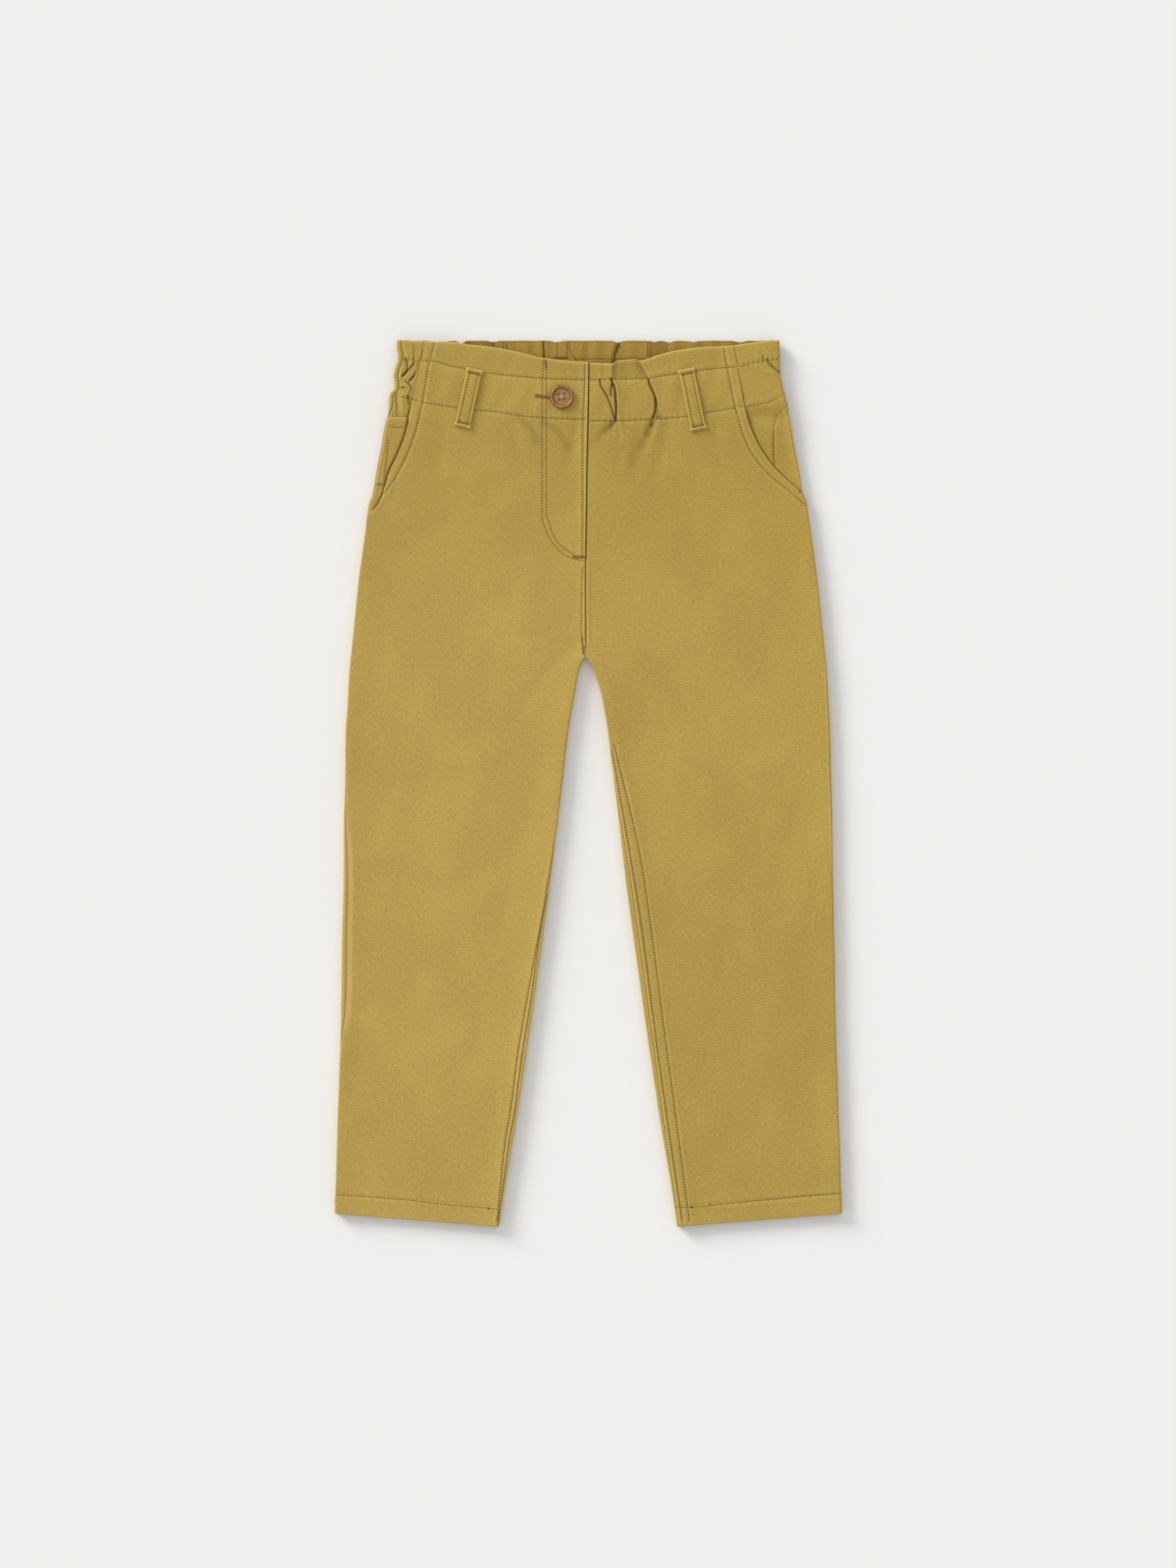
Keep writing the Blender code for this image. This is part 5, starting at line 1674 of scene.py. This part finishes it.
@dataclass
class Stitching:
    """Stitches of one thread on a few panels, gathered into one piece.

    A stitch is a long bead of rings round the thread's direction: its radius is 1 in the
    middle, less towards both ends, and its lower half is sunk in the cloth. It stands proud of
    the cloth in the middle, and dips towards its ends.
    """

    name: str
    slot: Slot
    finish: ThreadFinish
    pitch: float = 1.85
    length: float = 1.3
    width: float = 0.62
    height: float = 0.46
    sides: int = 6
    shoulder: tuple[float, float] = (0.74, 0.72)
    proud: float = 0.13
    dip: float = 0.10
    beads: list[Array] = field(default_factory=list)
    jobs: dict[tuple[str, bool], tuple[ClothPanel, list[Array]]] = field(default_factory=dict)

    @cached_property
    def template(self) -> tuple[Array, list[Array]]:
        """A bead of length 2 and radius 1 along the first axis: its points and its faces."""
        c, s = circle(self.sides)
        reach, thin = self.shoulder
        rings = [
            np.stack([np.full(self.sides, at), radius * c, radius * s], axis=-1)
            for at, radius in ((-reach, thin), (0.0, 1.0), (reach, thin))
        ]
        return capped(np.stack(rings), np.array([[-1.0, 0, 0], [1.0, 0, 0]]))

    def add(self, points: Array, along: Array, up: Array, size: Array) -> None:
        """Adds a bead at each point, along its direction turned into the surface with this normal.

        Args:
            points: The beads' places.
            along: Their directions.
            up: The surface's normals there.
            size: Their lengths, widths and heights, one row for each bead or one for all.
        """
        across = unit(np.cross(up, along))
        along = unit(np.cross(across, up))
        x, y, z = np.moveaxis(self.template[0], -1, 0)[:, None, :, None]
        length, width, height = np.asarray(size).reshape(-1, 3).T[:, :, None, None] / 2
        self.beads.append(
            points[:, None] + along[:, None] * x * length + across[:, None] * y * width
            + up[:, None] * (z * height + self.proud - self.dip * np.abs(x))
        )

    def lay(
        self, panel: ClothPanel, place: Array, way: Array, size: tuple[float, ...], inside: bool
    ) -> None:
        """Keeps beads for a panel, at places and along directions given as x and y."""
        job = np.column_stack([place, way, np.tile(size, (len(place), 1))])
        self.jobs.setdefault((panel.name, inside), (panel, []))[1].append(job)

    def row(self, panel: ClothPanel, line: Line, inside: bool = False) -> None:
        """A row of stitches along a line on a panel."""
        size = (self.length, self.width, self.height)
        self.lay(panel, *line.spaced(self.pitch), size, inside)

    def tack(
        self, panel: ClothPanel, line: Line, across: float, pitch: float = 0.55, inside: bool = False
    ) -> None:
        """A bar tack: short stitches side by side across a line."""
        self.bars(panel, *line.spaced(pitch), across, inside)

    def bars(
        self, panel: ClothPanel, place: Array, way: Array, across: float, inside: bool = False
    ) -> None:
        """Stitches across a direction given as x and y, leaning by turns."""
        self.lay(panel, place, self.lean(way), (across, *BAR_SECTION), inside)

    @staticmethod
    def lean(way: Array) -> Array:
        """Directions across these, leaning forwards and backwards by turns."""
        turns = 1 - 2 * (np.arange(len(way)) % 2)
        return left_of(way) + 0.35 * turns[:, None] * way

    def build(self) -> bpy.types.Object:
        """Sets the kept beads on their panels, and joins all of them into one piece."""
        for (_, inside), (panel, jobs) in self.jobs.items():
            job = np.concatenate(jobs)
            points, up = panel.at(job[:, :2], inside)
            self.add(points, np.column_stack([job[:, 2:4], np.zeros(len(job))]), up, job[:, 4:])
        shape, parts = self.template
        beads = np.concatenate(self.beads)
        shift = (len(shape) * np.arange(len(beads)))[:, None, None]
        faces = [(part[None] + shift).reshape(-1, part.shape[1]) for part in parts]
        piece = mesh_piece(self.name, beads.reshape(-1, 3), faces, [self.finish])
        LOG.info("%s: %d stitches", self.name, len(beads))
        return piece


UP = np.array([0.0, 0.0, 1.0])
# Where the loops lie in the flat cloth, clear of the panels, in metres.
LOOP_CUT_FROM = 0.37


@dataclass
class BeltLoop:
    """A strip folded in three, stitched down both sides and tacked at its ends.

    Its section is a flattened superellipse carried along a path that bows up between the
    ends; both ends close on a point. A tack is given by its half width, the pitch of its
    stitches and their length.
    """

    name: str
    panel: ClothPanel
    top: tuple[float, float]
    end: tuple[float, float]
    under: bool = False
    width: float = 10.2
    thick: float = 1.2
    bow: float = 0.4
    air: float = 0.25
    row_inset: float = 2.2
    row_from: float = 3.2
    row_less: float = 5.5
    tack_from: float = 3.0
    tack: tuple[float, float, float] = (3.9, 0.6, 1.5)
    rings: int = 48
    sides: int = 44
    shares: int = 49

    @cached_property
    def length(self) -> float:
        """The distance between its ends."""
        return math.dist(self.top, self.end)

    @cached_property
    def way(self) -> Array:
        """Its direction from the top down, as x, y and z."""
        return unit(np.array([*self.end, 0.0]) - np.array([*self.top, 0.0]))

    @cached_property
    def across(self) -> Array:
        """The direction across it, as x, y and z."""
        return np.append(left_of(self.way[:2]), 0.0)

    def along(self, share: Array) -> Array:
        """Places down the middle of the loop, as x and y."""
        return np.array(self.top) * (1 - share) + np.array(self.end) * share

    @cached_property
    def seat(self) -> Array:
        """The height of the cloth under the loop, at even shares of its length."""
        share = np.linspace(0, 1, self.shares)[None, :, None]
        shift = np.array([-4.2, -2.0, 0.0, 2.0, 4.2])[:, None, None]
        place = self.along(share) + shift * self.across[:2]
        under = self.panel.at(place.reshape(-1, 2))[0][:, 2]
        highest = under.reshape(len(shift), self.shares).max(axis=0)
        return np.convolve(np.pad(highest, 3, "edge"), np.ones(7) / 7, "valid")

    def spine(self, t: Array) -> Array:
        """Points down the middle of the loop, as x, y and z."""
        height = np.full(len(t), self.thick / 2)
        if not self.under:
            cloth = np.interp(t, np.linspace(0, 1, self.shares), self.seat)
            height += cloth + self.air + self.bow * np.sin(math.pi * t)
        return np.column_stack([self.along(t[:, None]), height])

    def build(self) -> bpy.types.Object:
        """Carries the section along the path, dips it at its rows and tacks, and closes it."""
        t = 0.5 - 0.5 * np.cos(np.linspace(0, math.pi, self.rings))
        middle, near_end = self.spine(t), (np.minimum(t, 1 - t) * self.length)[:, None]
        c, s = circle(self.sides)
        wide = self.width / 2 * np.sign(c) * np.abs(c) ** 0.42
        tall = self.thick / 2 * np.sign(s) * np.abs(s) ** 0.62
        round_off = np.sqrt(np.clip(near_end / 0.7, 0, 1))
        reach = wide * (1 + 0.17 * bell(near_end - 0.8, 1.5)) * (0.94 + 0.06 * round_off)
        rim = np.abs(reach) - self.width / 2
        rows = bell(rim + self.row_inset, 0.55)
        dents = 0.14 * bell(rim + 0.7, 0.6) - 0.22 * rows
        dents += 0.30 * bell(near_end - 1.1, 1.1) - 0.22 * bell(near_end - 3.4, 0.7)
        lift = round_off * (tall + (s > 0) * dents)
        ring = middle[:, None] + reach[..., None] * self.across + lift[..., None] * UP
        points, faces = capped(ring, middle[[0, -1]])
        piece = mesh_piece(self.name, points, faces, [TWILL])
        size = (self.width * MM, self.length * MM)
        flat = np.stack([reach * MM, (-t * size[1])[:, None] + 0 * reach], axis=-1).reshape(-1, 2)
        flat = np.concatenate([flat, [[0.0, 0.0], [0.0, -size[1]]]]) + LOOP_CUT_FROM
        # Rubbed along its sides and ends; painted shade along its rows of stitches.
        wear = 0.75 * bell(rim + 0.3, 0.7) + 0.55 * bell(near_end - 0.9, 0.8)
        marks = {
            mark: np.append(values.ravel(), [0.3, 0.3])
            for mark, values in (("wear", wear), ("dark", 0.06 * rows))
        }
        lay_flat(piece.data, flat, marks)
        self.width * MM
        self.length * MM
        LOG.info("%s: %d faces", self.name, len(piece.data.polygons))
        return piece

    def sew(self, rows: Stitching, tacks: Stitching) -> None:
        """Stitches down both sides of the loop, and a tack at each end.

        Args:
            rows: Takes the stitches of the rows.
            tacks: Takes those of the tacks.
        """
        count = int((self.length - self.row_less) / rows.pitch)
        middle = self.spine((self.row_from + rows.pitch * (0.5 + np.arange(count))) / self.length)
        face = -UP if self.under else UP
        size = np.array([rows.length, rows.width, rows.height])
        for side in (-1, 1):
            aside = self.across * side * (self.width / 2 - self.row_inset)
            points = middle + (self.thick / 2 - 0.10) * face + aside
            rows.add(points, np.tile(self.way, (count, 1)), np.tile(face, (count, 1)), size)
        half_width, pitch, bar = self.tack
        reach = np.arange(-half_width, half_width + 0.1, pitch)[:, None]
        lean = tacks.lean(np.tile(self.across[:2], (len(reach), 1)))
        for at in (self.tack_from, self.length - self.tack_from):
            spot = self.spine(np.array([at / self.length])) + (self.thick / 2 - 0.05) * face
            up = np.tile(face, (len(reach), 1))
            along = np.column_stack([lean, 0 * reach])
            tacks.add(spot + reach * self.across, along, up, np.array([bar, *BAR_SECTION]))


# The button's section: its dished face, then its rim, its side and its underside.
DISH = columns("radius height", (0.0, 1.24), (2.0, 1.22), (5.0, 1.02))
BUTTON_EDGE = columns(
    "radius height",
    (5.3, 1.0), (5.6, 1.02), (5.85, 1.15), (6.05, 1.45), (6.2, 1.8), (6.35, 2.1), (6.55, 2.28),
    (6.85, 2.36), (7.2, 2.3), (7.5, 2.1), (7.75, 1.8), (7.85, 1.45), (7.85, 1.1), (7.7, 0.75),
    (7.2, 0.45), (6.6, 0.25), (5.8, 0.1), (5.0, 0.0), (2.5, 0.0),
)


@dataclass
class HornButton:
    """A turned four-hole button with a dished face and a raised rim, and its crossed thread.

    The body is a profile turned round the button's axis, whose face drops into a round pit
    at each hole. The thread is a few arcs between opposite holes, one pair over the other.
    """

    panel: ClothPanel
    place: tuple[float, float] = BUTTON_PLACE
    sides: int = 144
    hole: float = 0.85
    hole_reach: float = 2.2
    turn: float = 0.1
    pit: float = 1.25
    strand: float = 0.15
    strands: tuple[float, ...] = (-0.24, 0.0, 0.24)
    pairs: tuple[float, float] = (0.95, 1.07)
    arch: float = 0.52
    name: str = "horn_button"

    @cached_property
    def seat(self) -> float:
        """The height of the cloth under the button."""
        spots = np.array(self.place) + 5.0 * np.stack(circle(12), axis=-1)
        return float(self.panel.at(spots)[0][:, 2].max()) + 0.1

    def holes(self) -> Array:
        """The middles of the four holes."""
        turn = math.pi / 4 + self.turn + math.pi / 2 * np.arange(4)
        aside = np.stack([np.cos(turn), np.sin(turn)], axis=-1)
        return np.array(self.place) + self.hole_reach * aside

    def build(self) -> bpy.types.Object:
        """Turns the profile, sinks the pits and closes both poles."""
        c, s = circle(self.sides)
        face = np.linspace(0.05, DISH["radius"][-1], 46)
        radius = np.append(face, BUTTON_EDGE["radius"])
        height = np.append(smooth(DISH["radius"], DISH["height"], face), BUTTON_EDGE["height"])
        x = self.place[0] + radius[:, None] * c
        y = self.place[1] + radius[:, None] * s
        z = height[:, None] + 0 * x
        for hole_x, hole_y in self.holes():
            away = np.hypot(x - hole_x, y - hole_y)
            pit = self.pit * (1 - ramp(away, self.hole - 0.22, self.hole + 0.1))
            z[: len(face)] -= pit[: len(face)]
        poles = [[*self.place, self.seat + height] for height in (DISH["height"][0], 0.0)]
        points, faces = capped(np.stack([x, y, self.seat + z], axis=-1), np.array(poles))
        piece = mesh_piece(self.name, points, faces, [HORN])
        turn_outwards(piece.data)
        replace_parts(piece, "button")
        LOG.info("%s: %d faces", self.name, len(piece.data.polygons))
        return piece

    def thread(self) -> bpy.types.Object:
        """Strands between opposite holes: each a tube of small radius over a half-sine arc."""
        holes, t = self.holes(), np.linspace(0, 1, 15)[:, None]
        arc = np.sin(math.pi * t)
        c, s = (part[None, :, None] * self.strand for part in circle(8))
        points, faces, count = [], [], 0
        for pair, foot in enumerate(self.pairs):
            start, end = holes[pair], holes[pair + 2]
            across = left_of(unit(end - start))
            for shift in self.strands:
                path = start * (1 - t) + end * t + across * shift * arc
                spine = np.hstack([path, self.seat + foot + self.arch * arc**0.6])
                rings = spine[:, None] + c * np.append(across, 0.0) + s * UP
                strand, parts = capped(rings, spine[[0, -1]], count)
                points.append(strand)
                faces += parts
                count += len(strand)
        name = self.name + "_thread"
        piece = mesh_piece(name, np.concatenate(points), faces, [BUTTON_THREAD])
        turn_outwards(piece.data)
        LOG.info("%s", piece.name)
        return piece


@dataclass
class Buttonhole:
    """A keyhole buttonhole: close stitches round a slit that ends in a small eye."""

    panel: ClothPanel
    start: tuple[float, float] = (-34.6, 257.4)
    eye: tuple[float, float] = (-24.2, 255.8)
    half_width: float = 0.6
    eye_radius: float = 1.3

    def sew(self, thread: Stitching) -> None:
        """Short bars across both sides of the slit, a fan round the eye, a tack at the end."""
        start, eye = np.array(self.start), np.array(self.eye)
        way = unit(eye - start)
        across = left_of(way)
        steps = np.arange(0.4, math.dist(self.start, self.eye) - 1.2, 0.5)
        for side in (-1, 1):
            place = start + steps[:, None] * way + side * self.half_width * across
            thread.bars(self.panel, place, np.tile(way, (len(place), 1)), 1.2)
        turn = np.linspace(-0.8 * math.pi, 0.8 * math.pi, 15)[:, None]
        spoke = np.cos(turn) * way + np.sin(turn) * across
        thread.bars(self.panel, eye + self.eye_radius * spoke, left_of(spoke), 1.4)
        bar = start - np.linspace(-0.9, 0.9, 4)[:, None] * across
        thread.bars(self.panel, bar, np.tile(across, (4, 1)), 1.6)


@dataclass
class Studio:
    """A pale floor, a wide soft sun low in the upper left, a pale sky and the camera.

    The sun points at the origin. The camera looks straight down, and takes in the long side
    at the height it aims at. Lengths are metres here, and the lens is in millimetres.
    """

    floor: float = 6.0
    lens: float = 85.0
    sensor: float = 36.0
    long_side: float = 1.040
    aim_height: float = 0.0065
    key_place: tuple[float, float, float] = (-2.05, 1.86, 1.0)
    key_angle: float = math.radians(25)
    key_power: float = 2.88
    key_colour: tuple[float, float, float] = (1.0, 0.995, 0.985)
    sky: float = 0.75
    sky_colour: tuple[float, float, float, float] = (0.995, 0.997, 1.0, 1.0)

    def build(self) -> None:
        """Makes the floor, the lights and the camera."""
        mesh = bpy.data.meshes.new("floor")
        corners = [(x * self.floor, y * self.floor, 0) for x, y in ((-1, -1), (1, -1), (1, 1), (-1, 1))]
        mesh.from_pydata(corners, [], [(0, 1, 2, 3)])
        mesh.materials.append(WARDROBE.get(FLOOR))
        floor = self.place("floor", mesh)
        lamp = bpy.data.lights.new("key", "SUN")
        lamp.angle, lamp.energy, lamp.color = self.key_angle, self.key_power, self.key_colour
        key, (x, y, z) = self.place("key", lamp), self.key_place
        key.location = self.key_place
        tilt = math.acos(z / math.hypot(x, y, z))
        key.rotation_euler = (tilt, 0.0, math.atan2(y, x) + math.pi / 2)
        world = bpy.data.worlds.new("sky")
        world.use_nodes = True
        light = world.node_tree.nodes["Background"]
        light.inputs["Color"].default_value = self.sky_colour
        light.inputs["Strength"].default_value = self.sky
        shot = bpy.data.cameras.new("camera")
        shot.lens, shot.sensor_width = self.lens, self.sensor
        camera = self.place("camera", shot)
        camera.location.z = self.aim_height + self.long_side * self.lens / self.sensor
        scene = bpy.context.scene
        scene.world, scene.camera = world, camera
        scene.view_settings.view_transform = "Standard"

    @staticmethod
    def place(name: str, data: bpy.types.ID) -> bpy.types.Object:
        """An object of this data in the scene."""
        thing = bpy.data.objects.new(name, data)
        bpy.context.scene.collection.objects.link(thing)
        return thing


@dataclass
class Trousers:
    """The whole garment: its panels, their stitches, the belt loops and the button."""

    panels: dict[str, ClothPanel] = field(default_factory=dict)

    def cut_panels(self) -> None:
        """Lays out every panel's rows and columns, in parts of a start, an end and a count."""
        hem_from = 4 - 16.0 / (HIP_Y - HEM_OUTER[1])
        leg = ((3.2, 3.266, 40), (3.266, hem_from, 76), (hem_from, 4.0, 20))
        for half, middle, rows, thigh in ((RIGHT, 48, 24, 56), (LEFT, 106, 52, 22)):
            hip = ((1.0, 2.0, rows), (2.0, 2.35, 18), (2.35, 3.0, 24), (3.0, 3.2, thigh))
            self.panels["front_" + half.name] = FrontPanel(
                "cloth_front_" + half.name, half, (6, 20, 22, middle, 16, 6),
                spread((0.0, 0.12, 3), (0.12, 1.0, 16), *hip, *leg),
            )
        hip = ((1.0, 2.0, 22), (2.0, 3.0, 34), (3.0, 3.2, 24))
        for half in (RIGHT, LEFT):
            self.panels["back_" + half.name] = BackPanel(
                "cloth_back_" + half.name, half, (8, 5, 74, 8, 4, 10),
                spread((0.0, 0.12, 3), (0.12, 1.0, 11), *hip, *leg),
            )
        for half, last_y, across in ((RIGHT, 183.0, 30), (LEFT, 182.0, 38)):
            last = level_of(half, last_y, 140.0)
            self.panels["side_" + half.name] = SidePanel(
                "cloth_side_" + half.name, half, (8, across, 8),
                spread((0.0, 0.12, 3), (0.12, 1.0, 16), (1.0, 2.0, 34), (2.0, last, 44)),
            )
        first, last = level_of(RIGHT, 243.0, 125.0), level_of(RIGHT, 199.0, 130.0)
        self.panels["coin_pocket"] = CoinPocket(
            "cloth_coin_pocket", RIGHT, (5, 10, 5), spread((first, last, 44)), bulge=0.1
        )

    def build_panels(self) -> None:
        """Makes each panel stand for its CAD node."""
        for node, panel in self.panels.items():
            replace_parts(panel.build(), node)

    def waist_line(self, panel: ClothPanel, level: Level, first: float, last: float) -> Line:
        """A row of stitches along a waist line, between two distances from the middle."""
        out = np.linspace(first, last, 24)
        y = panel.half.waist_y(level, out, panel.face)
        return Line(tuple(zip((panel.half.sign * out).tolist(), y.tolist())))

    def sew_fronts(self) -> None:
        """The rows of the waist, pockets, fly, middle seam, inner legs and hems, and their tacks."""
        for name, half in HALVES.items():
            panel = self.panels["front_" + name]
            rows = Stitching("stitches_front_" + name, Slot.THREAD, THREAD)
            last = 110.5 if half is RIGHT else 98.5
            for level in (Level.UPPER, Level.LOWER):
                rows.row(panel, self.waist_line(panel, level, 2.0, last))
            for line in (POCKET_ROWS[name], *INSEAM_ROWS[name], HEM_ROWS[name]):
                rows.row(panel, line)
            for knot in HEM_KNOTS[name]:
                rows.tack(panel, Line(knot), 1.5, 0.5)
            if half is RIGHT:
                for line in (FLY_EDGE_ROW, FLY_OUTER_ROW, FLY_INNER_ROW, CROTCH_ROW):
                    rows.row(panel, line)
            rows.build()
        self.sew_tacks()

    def sew_tacks(self) -> None:
        """Bar tacks of the fly, pocket mouths and crotch, and the buttonhole."""
        right = self.panels["front_right"]
        tacks = Stitching("bar_tacks_front", Slot.BARTACK, BARTACK_THREAD)
        tacks.tack(right, Line(((-9.9, 151.0), (-2.4, 150.6))), 2.3)
        tacks.tack(right, Line(((-28.6, 281.6), (-27.9, 275.4))), 0.9)
        tacks.tack(right, Line(((-2.9, 91.8), (-2.9, 86.5))), 2.6)
        Buttonhole(right).sew(tacks)
        tacks.build()

    def sew_sides(self) -> None:
        """The rows of the side pieces and of the coin pocket."""
        rows = Stitching("stitches_sides", Slot.THREAD, THREAD, width=0.46)
        for name, first, last in (("right", 112.0, 124.0), ("left", 100.5, 126.0)):
            panel = self.panels["side_" + name]
            for level in (Level.UPPER, Level.LOWER):
                rows.row(panel, self.waist_line(panel, level, first, last))
        for ends in (((-129.8, 236.6), (-121.6, 236.4)), ((-132.6, 228.8), (-135.4, 201.8))):
            rows.row(self.panels["coin_pocket"], Line(ends))
        rows.build()

    def sew_backs(self) -> None:
        """The back's rows, under the garment and on the inside of its waist."""
        for name, half in HALVES.items():
            panel = self.panels["back_" + name]
            rows = Stitching("stitches_back_" + name, Slot.THREAD, THREAD)
            middle = 13.5 if half is RIGHT else -9.5
            for level in (Level.UPPER, Level.LOWER):
                rows.row(panel, self.waist_line(panel, level, middle, 122.0))
            rows.row(panel, HEM_ROWS[name])
            y = np.linspace(292.5, 88.0, 16)
            seam = read(MIDDLE, "back", y) + half.sign * 2.0
            rows.row(panel, Line(tuple(zip(seam.tolist(), y.tolist()))))
            rows.build()
        inner = Stitching("stitches_waist_inside", Slot.THREAD, THREAD, length=1.5)
        right, left = self.panels["back_right"], self.panels["back_left"]
        y, top_y, foot_y = INSIDE_ROW_Y, 293.4, INSIDE_ROW_Y + 1.0
        inner.row(right, Line(((-80.0, y), (-13.5, y))), inside=True)
        inner.row(left, Line(((-9.5, y), (60.0, y))), inside=True)
        for x in (-56.2, -54.1, -20.8, -14.2):
            inner.row(right, Line(((x, top_y), (x + 0.1, foot_y))), inside=True)
        for x in (39.5, 42.1):
            inner.row(left, Line(((x, top_y), (x, foot_y))), inside=True)
        inner.build()
        tack = Stitching("bar_tack_inside", Slot.BARTACK, BARTACK_THREAD)
        tack.tack(right, Line(((-22.4, 283.5), (-13.6, 283.5))), 1.6, 0.5, inside=True)
        tack.build()

    def add_loops(self) -> None:
        """Two belt loops over the front waist and three under the back."""
        rows = Stitching("stitches_loops", Slot.THREAD, THREAD, width=0.44)
        tacks = Stitching("bar_tacks_loops", Slot.BARTACK, BARTACK_THREAD)
        right, left = self.panels["front_right"], self.panels["front_left"]
        loops = {
            "front_right": BeltLoop("loop_front_right", right, (-74.9, 275.2), (-83.4, 236.4)),
            "front_left": BeltLoop("loop_front_left", left, (65.0, 275.2), (73.4, 234.6)),
        }
        for place, side, x in zip(("right", "center", "left"), ("right", "right", "left"), BACK_LOOPS):
            panel, ends = self.panels["back_" + side], ((x, 275.5), (x, 239.5))
            loops["back_" + place] = BeltLoop("loop_back_" + place, panel, *ends, under=True)
        for node, loop in loops.items():
            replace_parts(loop.build(), "belt_loop_" + node)
            loop.sew(rows, tacks)
        rows.build()
        tacks.build()

    def add_button(self) -> None:
        """The horn button and its thread."""
        button = HornButton(self.panels["front_right"])
        button.build()
        button.thread()


def main() -> None:
    """Builds the garment and its studio, in the order of sewing."""
    logging.basicConfig(level=logging.INFO, format="%(message)s")
    garment = Trousers()
    garment.cut_panels()
    garment.build_panels()
    garment.sew_fronts()
    garment.sew_sides()
    garment.sew_backs()
    garment.add_loops()
    garment.add_button()
    Studio().build()


if __name__ == "__main__":
    main()
